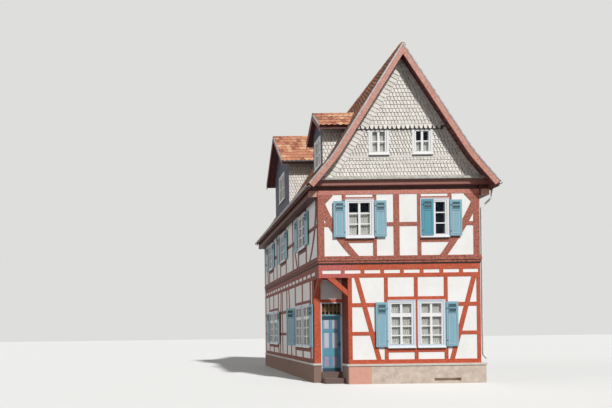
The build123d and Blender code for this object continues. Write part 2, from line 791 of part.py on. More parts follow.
def eaves():
    """The boxed eaves beam along the right side, up to the roof's underside."""
    shape = under_roof(ROOF_THICK + SEAT)
    beam = shape & bar((HALF, HALF + EAVES_BEAM), (EAVES_BEAM_Z, FLASHING_Z))
    return FRONT.solid(beam, LENGTH)


def beam_end():
    """The square end of the right eaves beam, proud of the front."""
    width, out, height = BEAM_END
    side = HALF + EAVES_BEAM
    return box((side - width, side), (-out, 0), (EAVES_BEAM_Z, EAVES_BEAM_Z + height))


GUTTER_CENTRE = (ROOF_EAVE[0] + GUTTER_RADIUS, ROOF_EAVE[1] - GUTTER_RADIUS / 2)


def gutter():
    """A half-round gutter along the right eave."""
    ring = Circle(GUTTER_RADIUS) - Circle(GUTTER_RADIUS - GUTTER_SHEET)
    lower = ring & Pos(0, -GUTTER_RADIUS / 2) * Rectangle(2 * GUTTER_RADIUS, GUTTER_RADIUS)
    return FRONT.solid(Pos(*GUTTER_CENTRE) * lower, LENGTH + VERGE_OUT, -VERGE_OUT)


def ridge_tiles():
    """The ridge: half-round tiles, each flared over the narrow end of the one before it."""
    run = LENGTH + VERGE_OUT
    count = round(run / RIDGE_TILE)
    pitch = run / count
    middle_z = ROOF_APEX_Z - RIDGE_RADIUS / 2
    ridge = Part()
    for index in range(count):
        length = pitch + RIDGE_LAP if index < count - 1 else pitch
        middle_y = -VERGE_OUT + index * pitch + length / 2
        tile = Rot(-90, 0, 0) * Cone(RIDGE_RADIUS + RIDGE_FLARE, RIDGE_RADIUS, length)
        ridge += Pos(0, middle_y, middle_z) * tile
    return ridge - Pos(0, 0, SEAT) * FRONT.solid(under_roof(0), LENGTH + 2 * VERGE_OUT, -2 * VERGE_OUT)


def barge_boards():
    """The board along the front verge of the right slope, its foot cut square."""
    eave_x, eave_z = ROOF_EAVE
    pitch = radians(FLARE_PITCH)
    foot = outline(
        ROOF_EAVE,
        (eave_x - 2 * BARGE * sin(pitch), eave_z - 2 * BARGE * cos(pitch)),
        (eave_x, eave_z - 2 * BARGE),
    )
    return FRONT.solid(slope_band(0, BARGE) - foot, BARGE_THICK, -VERGE_OUT - BARGE_THICK)


def corner_brackets():
    """The two slanted brackets under the overhanging corner."""
    low = GROUND_PLATE_Z - BRACKET_DROP
    front = outline(
        (RECESS_RIGHT, low),
        (RECESS_RIGHT, low - BRACKET_FOOT),
        (RECESS_RIGHT - BRACKET_REACH, GROUND_PLATE_Z),
        (RECESS_RIGHT - BRACKET_REACH + BRACKET_HEAD, GROUND_PLATE_Z),
    )
    side = outline(
        (RECESS_DEPTH, low),
        (RECESS_DEPTH, low - BRACKET_FOOT),
        (BRACKET_BACK, GROUND_PLATE_Z),
        (BRACKET_BACK + BRACKET_FOOT, GROUND_PLATE_Z),
    )
    return [FRONT.solid(front, BRACKET, BRACKET_BACK), LEFT.solid(side, BRACKET, BRACKET_BACK)]


def door_frame():
    """The door's lining with its rebate, the transom under the fanlight and the hinge seats."""
    low, high = DOORWAY[0] + DOOR_LINING, DOORWAY[1] - DOOR_LINING
    front_depth = FRAME - DOOR_THICK - DOOR_GAP
    outer = bar(DOORWAY, (THRESHOLD_Z, DOOR_LINTEL_Z))
    leaf_hole = bar((low, high), (THRESHOLD_Z, DOOR_TRANSOM_Z))
    frame = DOOR_WALL.solid(outer - leaf_hole - fanlight(), front_depth)
    rebate = (THRESHOLD_Z, DOOR_TRANSOM_Z + DOOR_REBATE)
    wide = bar((low - DOOR_REBATE, high + DOOR_REBATE), rebate)
    frame += DOOR_WALL.solid(outer - wide - fanlight(), FRAME - front_depth, front_depth)
    for level in HINGE_LEVELS:
        frame += box(
            (DOORWAY[0], DOOR_SPAN[0] - HINGE_RADIUS - SEAT),
            (DOOR_WALL_BACK, DOOR_WALL_BACK + 2 * HINGE_RADIUS),
            span_about(level, HINGE_LENGTH),
        )
    return frame


def fanlight():
    """The outline of the light over the door."""
    return bar(
        (DOORWAY[0] + DOOR_LINING, DOORWAY[1] - DOOR_LINING),
        (DOOR_TRANSOM_Z + DOOR_TRANSOM, DOOR_LINTEL_Z - DOOR_LINING),
    )


DOOR_SPAN = (
    DOORWAY[0] + DOOR_LINING - DOOR_REBATE + DOOR_GAP,
    DOORWAY[1] - DOOR_LINING + DOOR_REBATE - DOOR_GAP,
)
DOOR_LEVELS = (THRESHOLD_Z + DOOR_GAP, DOOR_TRANSOM_Z + DOOR_REBATE - DOOR_GAP)
HINGE_LEVELS = (DOOR_LEVELS[0] + HINGE_INSET, DOOR_LEVELS[1] - HINGE_INSET)


def door_leaf():
    """The panelled leaf, closed against its rebate: two columns of three sunk panels."""
    low, high = DOOR_SPAN
    middle = (low + high) / 2
    face = FRAME - DOOR_THICK
    sunk = DOOR_THICK / 3
    leaf = DOOR_WALL.solid(bar(DOOR_SPAN, DOOR_LEVELS), DOOR_THICK, face)
    left = (low + DOOR_STILE, middle - DOOR_MUNTIN / 2)
    right = (middle + DOOR_MUNTIN / 2, high - DOOR_STILE)
    for u in (left, right):
        for foot, head in DOOR_PANELS:
            z = (DOOR_LEVELS[0] + foot, DOOR_LEVELS[0] + head)
            leaf -= DOOR_WALL.solid(bar(u, z), sunk, face)
            raised = bar(*[(low + PANEL_BEVEL, high - PANEL_BEVEL) for low, high in (u, z)])
            leaf += DOOR_WALL.solid(raised, sunk * 2 / 3, face + sunk / 3)
    return leaf


def door_handle():
    """A lever handle with its plate on the leaf's outer face."""
    edge = DOOR_SPAN[1] - DOOR_STILE / 2
    level = DOOR_LEVELS[0] + HANDLE_LEVEL
    face = DOOR_WALL_BACK - DOOR_THICK
    width, height, thick = HANDLE_PLATE
    plate = box(span_about(edge, width), (face - thick, face), span_about(level, height))
    stem = Pos(edge, face - HANDLE_OUT / 2, level) * Rot(90, 0, 0) * Cylinder(LEVER / 2, HANDLE_OUT)
    lever = box(
        (edge - LEVER_LENGTH, edge + LEVER / 2),
        span_about(face - HANDLE_OUT, LEVER),
        span_about(level, LEVER),
    )
    return plate + stem + lever


def door_hinges():
    """Two butt hinge knuckles on the leaf's inner edge."""
    pins = []
    for level in HINGE_LEVELS:
        pin = Cylinder(HINGE_RADIUS, HINGE_LENGTH)
        knuckle = Pos(DOOR_SPAN[0], DOOR_WALL_BACK + HINGE_RADIUS, level) * pin
        flap = box(
            (DOOR_SPAN[0], DOOR_SPAN[0] + HINGE_LENGTH),
            (DOOR_WALL_BACK, DOOR_WALL_BACK + HINGE_RADIUS / 2),
            span_about(level, HINGE_LENGTH),
        )
        pins.append(knuckle + flap)
    return pins


def doorstep():
    """The stone threshold with a lower step in front."""
    threshold = box(DOORWAY, (THRESHOLD_FRONT, RECESS_DEPTH + PLINTH_INSET), (0, THRESHOLD_Z))
    step_sides = (DOORWAY[0], DOORWAY[1] - PLINTH_OUT)
    return threshold + box(step_sides, (THRESHOLD_FRONT - STEP_OUT, THRESHOLD_FRONT), (0, STEP_Z))


def ground_floor():
    """The floor slab between the plinth walls."""
    slab = ground_plan(-PLINTH_INSET, -PLINTH_INSET, FRAME_END - PLINTH_INSET)
    return layer(slab, (FLOOR_TOP - FLOOR_THICK, FLOOR_TOP))


def upper_floor():
    """The upper floor between the rim beams, with boards that reach out over them."""
    inside = bar((-HALF + FRAME, HALF - FRAME), (FRAME, FRAME_END - FRAME))
    over = bar((-HALF + DECK_BACK, HALF - DECK_BACK), (DECK_BACK, FRAME_END))
    return layer(inside, (RIM_Z, DECK_Z)) + layer(over, (DECK_Z, UPPER_SILL_Z))


def attic_floor():
    """The attic's floor and joist layer, set back behind the wall face."""
    return box((-HALF, HALF), (ATTIC_BACK, FRAME_END), (ATTIC_FLOOR_Z, FRIEZE_Z))


def downpipe():
    """The pipe from the right gutter, cranked back to the wall and turned out over the plinth."""
    x, z = GUTTER_CENTRE
    wall_x = HALF + DOWNPIPE_OFF + DOWNPIPE_RADIUS + SILL_OUT
    crank = EAVES_BEAM_Z - 2 * DOWNPIPE_RADIUS
    shoe_out, shoe_drop = DOWNPIPE_SHOE
    shoe = GROUND_FIELD_Z + shoe_drop
    points = [(x, z - GUTTER_RADIUS), (x, crank), (wall_x, crank - DOWNPIPE_CRANK)]
    points += [(wall_x, shoe), (wall_x + shoe_out, shoe - shoe_drop)]
    route = FilletPolyline(*[(u, DOWNPIPE_PLACE, v) for u, v in points], radius=DOWNPIPE_BEND)
    start = Plane(origin=(x, DOWNPIPE_PLACE, z - GUTTER_RADIUS), z_dir=(0, 0, -1))
    return sweep(start * Circle(DOWNPIPE_RADIUS), path=route)


def stone_base(parts):
    """Plinth, coping, doorstep and the ground floor."""
    outs = (PLINTH_OUT + COPING_OVERHANG, PLINTH_RIGHT_OUT + COPING_OVERHANG)
    coping = ground_ring(*outs, PLINTH_INSET - COPING_INSET, (COPING_Z, GROUND_SILL_Z))
    parts["plinth"] = plinth()
    parts["plinth_coping"] = coping
    parts["doorstep"] = doorstep()
    parts["ground_floor"] = ground_floor()


def ground_storey(parts):
    """The ground storey's frame, infill and top plate."""
    start = RECESS_DEPTH + CORNER_POST
    fields = (
        ground_front(),
        ground_side("left", start, LEFT_GROUND_POSTS),
        ground_side("right", FRAME, RIGHT_GROUND_POSTS),
    )
    posts, rails, braces, infill = storey(fields)
    corner = [
        box((RECESS_RIGHT, RECESS_RIGHT + CHEEK_POST), (0, DOOR_WALL_BACK), GROUND_LEVELS),
        box((HALF - GROUND_CORNER_POST, HALF), (0, FRAME), GROUND_LEVELS),
        box((-HALF, DOORWAY[0]), (RECESS_DEPTH, start), GROUND_LEVELS),
    ]
    depth = (RECESS_DEPTH, DOOR_WALL_BACK)
    lintel = box(DOORWAY, depth, (DOOR_LINTEL_Z, DOOR_LINTEL_Z + DOOR_LINTEL))
    over_door = bar(DOORWAY, (DOOR_LINTEL_Z + DOOR_LINTEL, GROUND_PLATE_Z))
    tie = box((-HALF + FRAME, RECESS_RIGHT + CHEEK_POST), depth, (GROUND_PLATE_Z, JOIST_Z))
    parts["ground_sill"] = ground_ring(0, 0, FRAME, (GROUND_SILL_Z, GROUND_FIELD_Z))
    parts["ground_posts"] = [*posts, *corner]
    parts["ground_rails"] = [*rails, lintel]
    parts["ground_braces"] = braces
    parts["ground_front_infill"] = [infill[0], DOOR_WALL.solid(over_door, INFILL, INFILL_BACK)]
    parts["ground_side_infill"] = infill[1:]
    parts["ground_plate"] = layer(plan_ring(0, FRAME), (GROUND_PLATE_Z, JOIST_Z)) + tie
    parts["corner_brackets"] = corner_brackets()


def upper_storey(parts):
    """The joists, rim and sill of the upper storey, its frame and infill, and its plate."""
    joists = floor_joists()
    parts["floor_joists"] = joists
    parts["joist_infill"] = joist_infill(joists)
    parts["rim_beam"] = layer(plan_ring(0, FRAME), (RIM_Z, DECK_Z))
    parts["upper_floor"] = upper_floor()
    parts["upper_sill"] = moulded_sill()
    fields = (
        upper_front(),
        upper_side("left", LEFT_UPPER_POSTS),
        upper_side("right", RIGHT_UPPER_POSTS),
    )
    posts, rails, braces, infill = storey(fields)
    sides = ((-HALF, -HALF + UPPER_CORNER_POST), (HALF - UPPER_CORNER_POST, HALF))
    parts["upper_posts"] = [*posts, *[box(side, (0, FRAME), UPPER_LEVELS) for side in sides]]
    parts["upper_rails"] = rails
    parts["upper_braces"] = braces
    parts["upper_front_infill"] = infill[0]
    parts["upper_side_infill"] = infill[1:]
    parts["upper_plate"] = layer(plan_ring(0, FRAME), (UPPER_PLATE_Z, ATTIC_FLOOR_Z))


def moulded_sill():
    """The upper sill, moulded in three steps of different reach."""
    third = UPPER_SILL / len(SILL_STEPS)
    sill = Part()
    for index, out in enumerate(SILL_STEPS):
        low = UPPER_SILL_Z + index * third
        sill += layer(plan_ring(out, FRAME + out), (low, low + third))
    return sill


def roof(parts):
    """Gables, slopes, eaves, rainwater pieces and dormers."""
    below = roof_solid(2 * SEAT)
    boards = barge_boards()
    parts["attic_floor"] = attic_floor()
    parts["rear_wall"] = box((-HALF, HALF), (FRAME_END, LENGTH), (0, FRIEZE_Z))
    parts["front_gable_wall"], parts["rear_gable_wall"] = gable_walls()
    parts["gable_frieze"], parts["gable_flashing"] = cornice()
    parts["roof_left"], parts["roof_right"] = roof_slopes()
    parts["ridge_tiles"] = ridge_tiles()
    parts["barge_board_right"] = boards
    parts["barge_board_left"] = mirrored(boards)
    parts["eaves_beams"] = [eaves(), mirrored(eaves())]
    parts["beam_ends"] = [beam_end(), mirrored(beam_end())]
    parts["gutters"] = [gutter(), mirrored(gutter())]
    parts["downpipe"] = downpipe()
    parts["dormer_walls"] = [dormer_walls(dormer, below) for dormer in DORMERS]
    parts["dormer_roofs"] = [dormer_roof(dormer, below) for dormer in DORMERS]
    parts["dormer_barge_boards"] = [dormer_barge(dormer) for dormer in DORMERS]


def window_places():
    """Each storey's windows as wall, sides, levels and the shares of its glazing bars."""
    ground = [(FRONT, u) for u in GROUND_FRONT_WINDOWS]
    upper = [(FRONT, u) for u in UPPER_FRONT_WINDOWS]
    for side, wall in SIDES.items():
        ground += [(wall, u) for u in GROUND_SIDE_WINDOWS[side]]
        upper += [(wall, u) for u in UPPER_SIDE_WINDOWS[side]]
    attic = [(GABLE_FACE, u, GABLE_WINDOW_LEVELS, ATTIC_BARS) for u in GABLE_WINDOWS]
    for dormer in DORMERS:
        face = Wall((dormer.wall_x, 0, 0), (0, 1, 0), (1, 0, 0))
        span = span_about(dormer.middle_y, dormer.window[0])
        attic.append((face, span, dormer.window_levels(), ATTIC_BARS))
    return {
        "ground": [(wall, u, GROUND_WINDOW_LEVELS, GROUND_BARS) for wall, u in ground],
        "upper": [(wall, u, UPPER_WINDOW_LEVELS, UPPER_BARS) for wall, u in upper],
        "attic": attic,
    }


def windows(parts):
    """Window frames by storey and all the glass."""
    glass = [DOOR_WALL.solid(fanlight(), GLASS, FRAME / 2)]
    for storey_name, places in window_places().items():
        parts[storey_name + "_window_frames"] = [window_frame(*place) for place in places]
        glass += [window_glass(*place[:3]) for place in places]
    parts["window_glass"] = glass


def shutters(parts):
    """Open shutters beside the windows; one is shut and one stands off the wall."""
    left, right = GROUND_FRONT_WINDOWS
    ground = shutter_pair(FRONT, left[0], right[1], GROUND_WINDOW_LEVELS)
    upper = []
    for side, wall in SIDES.items():
        spans = GROUND_SIDE_WINDOWS[side]
        for first, second in zip(spans[::2], spans[1::2]):
            swing = SWUNG_SHUTTER_ANGLE if side == "left" and first is spans[0] else 0
            ground += shutter_pair(wall, first[0], second[1], GROUND_WINDOW_LEVELS, swing)
        for u in UPPER_SIDE_WINDOWS[side]:
            upper += shutter_pair(wall, *u, UPPER_WINDOW_LEVELS)
    left, right = UPPER_FRONT_WINDOWS
    upper += shutter_pair(FRONT, *left, UPPER_WINDOW_LEVELS)
    open_leaf = shutter_pair(FRONT, *right, UPPER_WINDOW_LEVELS)[1]
    shut_levels = (UPPER_WINDOW_LEVELS[0] + SHUTTER_SHORT, UPPER_WINDOW_LEVELS[1] - SHUTTER_LIFT)
    upper += [open_leaf, shutter(FRONT, right[0], shut_levels, 1, closed=True)]
    parts["ground_shutters"] = ground
    parts["upper_shutters"] = upper


def door(parts):
    """The front door."""
    parts["door_frame"] = door_frame()
    parts["door_leaf"] = door_leaf()
    parts["door_handle"] = door_handle()
    parts["door_hinges"] = door_hinges()


def build():
    """Every node of the house by name."""
    parts = {}
    for make in (stone_base, ground_storey, upper_storey, roof, windows, shutters, door):
        make(parts)
    return parts


os.makedirs("parts", exist_ok=True)
for node, shape in build().items():
    solids = ShapeList()
    for item in shape if isinstance(shape, list) else [shape]:
        solids += item.solids()
    export_step(Compound(children=list(solids)), f"parts/{node}.step")
    print(node, len(solids), round(sum(solid.volume for solid in solids) / 1e9, 3))
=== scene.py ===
"""Half timbered town house: its finishes, roof tiles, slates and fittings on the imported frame.

Metres throughout. X runs right along the front, Y into the depth and Z up, with the origin at
ground level in the middle of the front.
"""

from __future__ import annotations

import json
import logging
import math
import random
from bisect import bisect_right
from dataclasses import dataclass, field
from enum import Enum
from typing import Any, Callable, Iterable

import bpy
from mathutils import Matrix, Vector
from mathutils.bvhtree import BVHTree

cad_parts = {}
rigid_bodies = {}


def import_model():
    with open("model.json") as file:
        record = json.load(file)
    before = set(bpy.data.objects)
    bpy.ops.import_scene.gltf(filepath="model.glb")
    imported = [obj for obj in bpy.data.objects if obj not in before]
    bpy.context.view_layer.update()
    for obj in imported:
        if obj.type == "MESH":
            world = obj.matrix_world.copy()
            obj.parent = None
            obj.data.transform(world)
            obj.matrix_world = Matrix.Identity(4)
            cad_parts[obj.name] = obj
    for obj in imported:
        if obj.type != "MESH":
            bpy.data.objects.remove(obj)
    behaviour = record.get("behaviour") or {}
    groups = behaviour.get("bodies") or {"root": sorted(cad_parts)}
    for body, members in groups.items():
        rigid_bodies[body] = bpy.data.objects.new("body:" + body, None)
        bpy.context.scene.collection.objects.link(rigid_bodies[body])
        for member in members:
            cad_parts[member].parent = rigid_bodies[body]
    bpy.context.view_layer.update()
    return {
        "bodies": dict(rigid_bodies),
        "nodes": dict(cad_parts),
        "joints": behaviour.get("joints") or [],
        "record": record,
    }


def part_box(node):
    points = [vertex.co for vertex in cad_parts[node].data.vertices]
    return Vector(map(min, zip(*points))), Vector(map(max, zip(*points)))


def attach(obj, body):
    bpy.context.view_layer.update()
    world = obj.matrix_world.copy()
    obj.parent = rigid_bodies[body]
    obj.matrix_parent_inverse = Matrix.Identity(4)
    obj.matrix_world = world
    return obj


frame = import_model()

NODES: dict[str, bpy.types.Object] = frame["nodes"]
HOUSE = "house"
FRONT_DOOR = "front_door"
MM = 0.001
LOG = logging.getLogger("house")

# Levels above which a window's foot belongs to the upper storey and to the attic
UPPER_FROM = 4.5
ATTIC_FROM = 7.0

Key = str | int
Socket = bpy.types.NodeSocket
Span = tuple[float, float]
Outline = list[Span]
Edges = tuple[float, float, float, float]
Lamp = tuple[tuple[float, float, float], float, float]


# Node helpers


def linear(colour: str) -> tuple[float, float, float, float]:
    """Turns an sRGB hex colour into linear RGBA.

    Args:
        colour: Six hex digits after a hash.

    Returns:
        The linear colour with full alpha.
    """
    shares = [int(colour[i : i + 2], 16) / 255 for i in (1, 3, 5)]
    red, green, blue = (s / 12.92 if s <= 0.04045 else ((s + 0.055) / 1.055) ** 2.4 for s in shares)
    return red, green, blue, 1.0


def add(
    tree: bpy.types.NodeTree,
    kind: str,
    settings: dict[Key, Any] | None = None,
    links: dict[Key, Socket] | None = None,
) -> bpy.types.ShaderNode:
    """Adds a node with its settings and links.

    Args:
        tree: The material's node tree.
        kind: The node's type.
        settings: Properties, or unlinked inputs by name or number.
        links: What feeds each input, by the input's name or number.

    Returns:
        The new node.
    """
    node = tree.nodes.new(kind)
    for key, value in (settings or {}).items():
        if isinstance(key, int) or key in node.inputs:
            node.inputs[key].default_value = value
        else:
            setattr(node, key, value)
    for key, source in (links or {}).items():
        tree.links.new(source, node.inputs[key])
    return node


def seen_directly(tree: bpy.types.NodeTree) -> Socket:
    """Tells the rays that show a surface from those that only light by it.

    Args:
        tree: The node tree to draw in.

    Returns:
        A value of 1 for rays from the camera, in gloss and through glass, else 0.
    """
    path = add(tree, "ShaderNodeLightPath").outputs
    seen = path["Is Camera Ray"]
    for kind in ("Is Glossy Ray", "Is Transmission Ray"):
        seen = add(tree, "ShaderNodeMath", {"operation": "MAXIMUM"}, {0: seen, 1: path[kind]}).outputs[0]
    return seen


# Finishes


class Grain(Enum):
    """Which way a timber's grain runs."""

    UPRIGHT = "upright"
    LEVEL = "level"
    LEANING = "leaning"


@dataclass
class Canvas:
    """A material while it is drawn: its node tree, its surface shader and the point on the object."""

    tree: bpy.types.NodeTree
    shader: bpy.types.ShaderNode
    place: Socket

    def across(self) -> Socket:
        """How far right of the front's middle the point is."""
        return add(self.tree, "ShaderNodeSeparateXYZ", links={"Vector": self.place}).outputs["X"]

    def sideways(self) -> Socket:
        """How far the face is turned to the house's left or right, from 0 to 1."""
        normal = add(self.tree, "ShaderNodeTexCoord").outputs["Normal"]
        parts = add(self.tree, "ShaderNodeSeparateXYZ", links={"Vector": normal}).outputs
        return add(self.tree, "ShaderNodeMath", {"operation": "ABSOLUTE"}, {0: parts["X"]}).outputs[0]

    def patches(self, size_mm: float, span: Span = (0.35, 0.65), place: Socket | None = None) -> Socket:
        """Soft patches of a real size.

        Args:
            size_mm: The patches' size.
            span: The noise values that turn to 0 and 1.
            place: The coordinates to draw them in, in metres, if not the object's own.

        Returns:
            A value from 0 to 1.
        """
        settings = {"Scale": 1 / (size_mm * MM), "Detail": 4.0, "Roughness": 0.6}
        noise = add(self.tree, "ShaderNodeTexNoise", settings, {"Vector": place or self.place})
        limits = {"From Min": span[0], "From Max": span[1]}
        return add(self.tree, "ShaderNodeMapRange", limits, {"Value": noise.outputs["Fac"]}).outputs["Result"]

    def blend(self, share: Socket, first: str | Socket, second: str | Socket) -> Socket:
        """Mixes two colours.

        Args:
            share: How much of the second colour shows.
            first: A hex colour or a colour socket.
            second: The same for the second colour.

        Returns:
            The mixed colour.
        """
        settings: dict[Key, Any] = {"data_type": "RGBA"}
        links: dict[Key, Socket] = {0: share}
        for slot, value in ((6, first), (7, second)):
            if isinstance(value, str):
                settings[slot] = linear(value)
            else:
                links[slot] = value
        return add(self.tree, "ShaderNodeMix", settings, links).outputs[2]

    def coat(self, share: Socket, first: str | Socket, second: str | Socket) -> None:
        """Gives the surface the mix of two colours.

        Args:
            share: How much of the second colour shows.
            first: A hex colour or a colour socket.
            second: The same for the second colour.
        """
        self.tree.links.new(self.blend(share, first, second), self.shader.inputs["Base Color"])

    def relief(self, height: Socket, depth_mm: float, strength: float = 1.0) -> None:
        """Feeds the shader with a bump of a real depth.

        Args:
            height: The height field, from 0 to 1.
            depth_mm: What a height of 1 stands for.
            strength: How much of it shows.
        """
        settings = {"Distance": depth_mm * MM, "Strength": strength}
        bump = add(self.tree, "ShaderNodeBump", settings, {"Height": height})
        self.tree.links.new(bump.outputs["Normal"], self.shader.inputs["Normal"])


@dataclass(frozen=True)
class Finish:
    """What every finish shares: a name, a colour, a second colour and a roughness.

    Colours are sRGB hex values. A size that ends in _mm is the real size of a pattern.
    """

    name: str
    colour: str
    second: str
    roughness: float = 0.6

    def material(self) -> bpy.types.Material:
        """Returns the finish's material, drawn on first use."""
        made = bpy.data.materials.get(self.name)
        if made is None:
            made = bpy.data.materials.new(self.name)
            made.use_nodes = True
            tree = made.node_tree
            tree.nodes.clear()
            shader = add(tree, "ShaderNodeBsdfPrincipled", {"Roughness": self.roughness})
            add(tree, "ShaderNodeOutputMaterial", links={"Surface": shader.outputs["BSDF"]})
            self.dress(Canvas(tree, shader, add(tree, "ShaderNodeTexCoord").outputs["Object"]))
        return made

    def dress(self, canvas: Canvas) -> None:
        """Draws the finish's own nodes on its material.

        Args:
            canvas: The material to draw on.
        """
        raise NotImplementedError


@dataclass(frozen=True)
class PaintedOak(Finish):
    """Oak, hewn with an adze and brushed with oil paint: grain ridges, adze hollows and dry streaks.

    The long sides have an older and browner coat than the front. `lean` is how far a brace leans
    for each metre of its height, and `bleached_ends` is where the left corner's bleached coat sets
    in and is full. The adze hollows are drawn darker as painted shade, and `richer` is how much
    fuller the colour is where the grain and that painted shade darken it.
    """

    roughness: float = 0.62
    grain: Grain = Grain.UPRIGHT
    lean: float = 0.0
    contrast: float = 0.8
    bleached: str | None = None
    side: str = "#7C3F33"
    grain_width_mm: float = 22.0
    grain_length_mm: float = 420.0
    faded_mm: float = 350.0
    hollow_mm: float = 60.0
    hollow_deep_mm: float = 4.0
    ridge_dark: float = 0.3
    # Painted shade: how much darker the adze hollows are drawn where the bump sinks them
    hollow_shade: float = 0.5
    bleached_ends: Span = (-1.5, -2.1)
    side_turn: Span = (0.6, 0.9)
    richer: float = 1.08

    def slanted(self, canvas: Canvas) -> Socket:
        """Shears the point on the object so that a leaning timber stands upright.

        Args:
            canvas: The timber's material.

        Returns:
            The sheared point.
        """
        tree = canvas.tree
        parts = add(tree, "ShaderNodeSeparateXYZ", links={"Vector": canvas.place}).outputs
        size = add(tree, "ShaderNodeMath", {"operation": "ABSOLUTE"}, {0: parts["X"]}).outputs[0]
        ends = {0: canvas.sideways(), 2: size, 3: parts["Y"]}
        run = add(tree, "ShaderNodeMix", {"data_type": "FLOAT"}, ends).outputs[0]
        shear = {"operation": "MULTIPLY_ADD", 1: self.lean}
        slant = add(tree, "ShaderNodeMath", shear, {0: parts["Z"], 2: run}).outputs[0]
        return add(tree, "ShaderNodeCombineXYZ", links={"X": slant, "Z": parts["Z"]}).outputs[0]

    def grain_place(self, canvas: Canvas) -> Socket:
        """Stretches the coordinates along the timber.

        Args:
            canvas: The timber's material.

        Returns:
            Coordinates in which the grain has a size of one.
        """
        across, along = 1 / (self.grain_width_mm * MM), 1 / (self.grain_length_mm * MM)
        place, scale = canvas.place, (across, across, along)
        if self.grain is Grain.LEVEL:
            scale = (along, along, across)
        elif self.grain is Grain.LEANING:
            place, scale = self.slanted(canvas), (across, 1.0, along)
        return add(canvas.tree, "ShaderNodeMapping", {"Scale": scale}, {"Vector": place}).outputs["Vector"]

    def dress(self, canvas: Canvas) -> None:
        """Draws grain ridges, adze hollows with painted shade in them, faded patches and the sides' older
        coat.

        Args:
            canvas: The material to draw on.
        """
        tree = canvas.tree
        ridges = canvas.patches(1 / MM, span=(0.3, 0.7), place=self.grain_place(canvas))
        paint = canvas.blend(canvas.patches(self.faded_mm, span=(0.3, 0.75)), self.colour, self.second)
        coats = [(canvas.sideways(), self.side_turn, self.side)]
        if self.bleached:
            coats.insert(0, (canvas.across(), self.bleached_ends, self.bleached))
        for value, (none, full), tint in coats:
            limits = {"From Min": none, "From Max": full}
            share = add(tree, "ShaderNodeMapRange", limits, {"Value": value}).outputs["Result"]
            paint = canvas.blend(share, paint, tint)
        # Painted shade: the adze hollows, sunk by the bump below, are drawn darker
        hollows = canvas.patches(self.hollow_mm, span=(0.38, 0.58))
        for marks, depth in ((ridges, self.ridge_dark), (hollows, self.hollow_shade)):
            shade = {"Value": 1 - depth * self.contrast, "Saturation": self.richer}
            dark = add(tree, "ShaderNodeHueSaturation", shade, {"Color": paint}).outputs["Color"]
            paint = canvas.blend(marks, dark, paint)
        tree.links.new(paint, canvas.shader.inputs["Base Color"])
        canvas.relief(hollows, depth_mm=self.hollow_deep_mm, strength=0.7)


@dataclass(frozen=True)
class JoineryPaint(Finish):
    """Planed softwood with brushed gloss paint: an even sheet with faint brush lines and worn spots."""

    brush_mm: float = 9.0
    wear: float = 0.5
    worn_mm: float = 180.0
    stroke_stretch: float = 0.06

    def dress(self, canvas: Canvas) -> None:
        """Draws brush lines and weathered patches.

        Args:
            canvas: The material to draw on.
        """
        stretch = {"Scale": (1.0, 1.0, self.stroke_stretch)}
        strokes = add(canvas.tree, "ShaderNodeMapping", stretch, {"Vector": canvas.place}).outputs["Vector"]
        worn = canvas.patches(self.worn_mm, span=(0.45, 0.45 + 0.5 / self.wear))
        canvas.coat(worn, self.colour, self.second)
        lines = canvas.patches(self.brush_mm, span=(0.3, 0.7), place=strokes)
        canvas.relief(lines, depth_mm=0.6, strength=0.6)


@dataclass(frozen=True)
class ShutterPaint(JoineryPaint):
    """Shutter paint, brushed: bleached on the open leaves, deeper on the closed leaf's inner side."""

    inner: str = "#5797A9"
    closed_ends: Span = (0.8, 1.3)

    def dress(self, canvas: Canvas) -> None:
        """Adds the closed leaf's deeper colour to the brush lines and patches.

        Args:
            canvas: The material to draw on.
        """
        super().dress(canvas)
        worn = canvas.shader.inputs["Base Color"].links[0].from_socket
        left, right = self.closed_ends
        within = {"operation": "COMPARE", 1: (left + right) / 2, 2: (right - left) / 2}
        there = add(canvas.tree, "ShaderNodeMath", within, {0: canvas.across()}).outputs[0]
        canvas.coat(there, worn, self.inner)


@dataclass(frozen=True)
class LimePlaster(Finish):
    """Lime plaster, floated smooth and limewashed: nearly even, with soft grey clouds and a fine tooth."""

    cloud_mm: float = 700.0
    grit_mm: float = 14.0

    def dress(self, canvas: Canvas) -> None:
        """Draws clouds and the float's tooth, drawn coarser than real so that it shows.

        Args:
            canvas: The material to draw on.
        """
        canvas.coat(canvas.patches(self.cloud_mm, span=(0.4, 0.85)), self.colour, self.second)
        canvas.relief(canvas.patches(self.grit_mm), depth_mm=1.2, strength=0.5)


@dataclass(frozen=True)
class SplitSlate(Finish):
    """Slate, split by hand and weathered: each piece has its own grey, with a riven, matt face."""

    third: str = "#8F8D8A"
    streak_mm: float = 60.0
    riven_mm: float = 25.0

    def dress(self, canvas: Canvas) -> None:
        """Gives each slate its own grey and a riven face.

        Args:
            canvas: The material to draw on.
        """
        own = add(canvas.tree, "ShaderNodeNewGeometry").outputs["Random Per Island"]
        body = canvas.blend(own, self.colour, self.second)
        canvas.coat(canvas.patches(self.streak_mm, span=(0.5, 0.9)), body, self.third)
        canvas.relief(canvas.patches(self.riven_mm), depth_mm=2.0, strength=0.7)


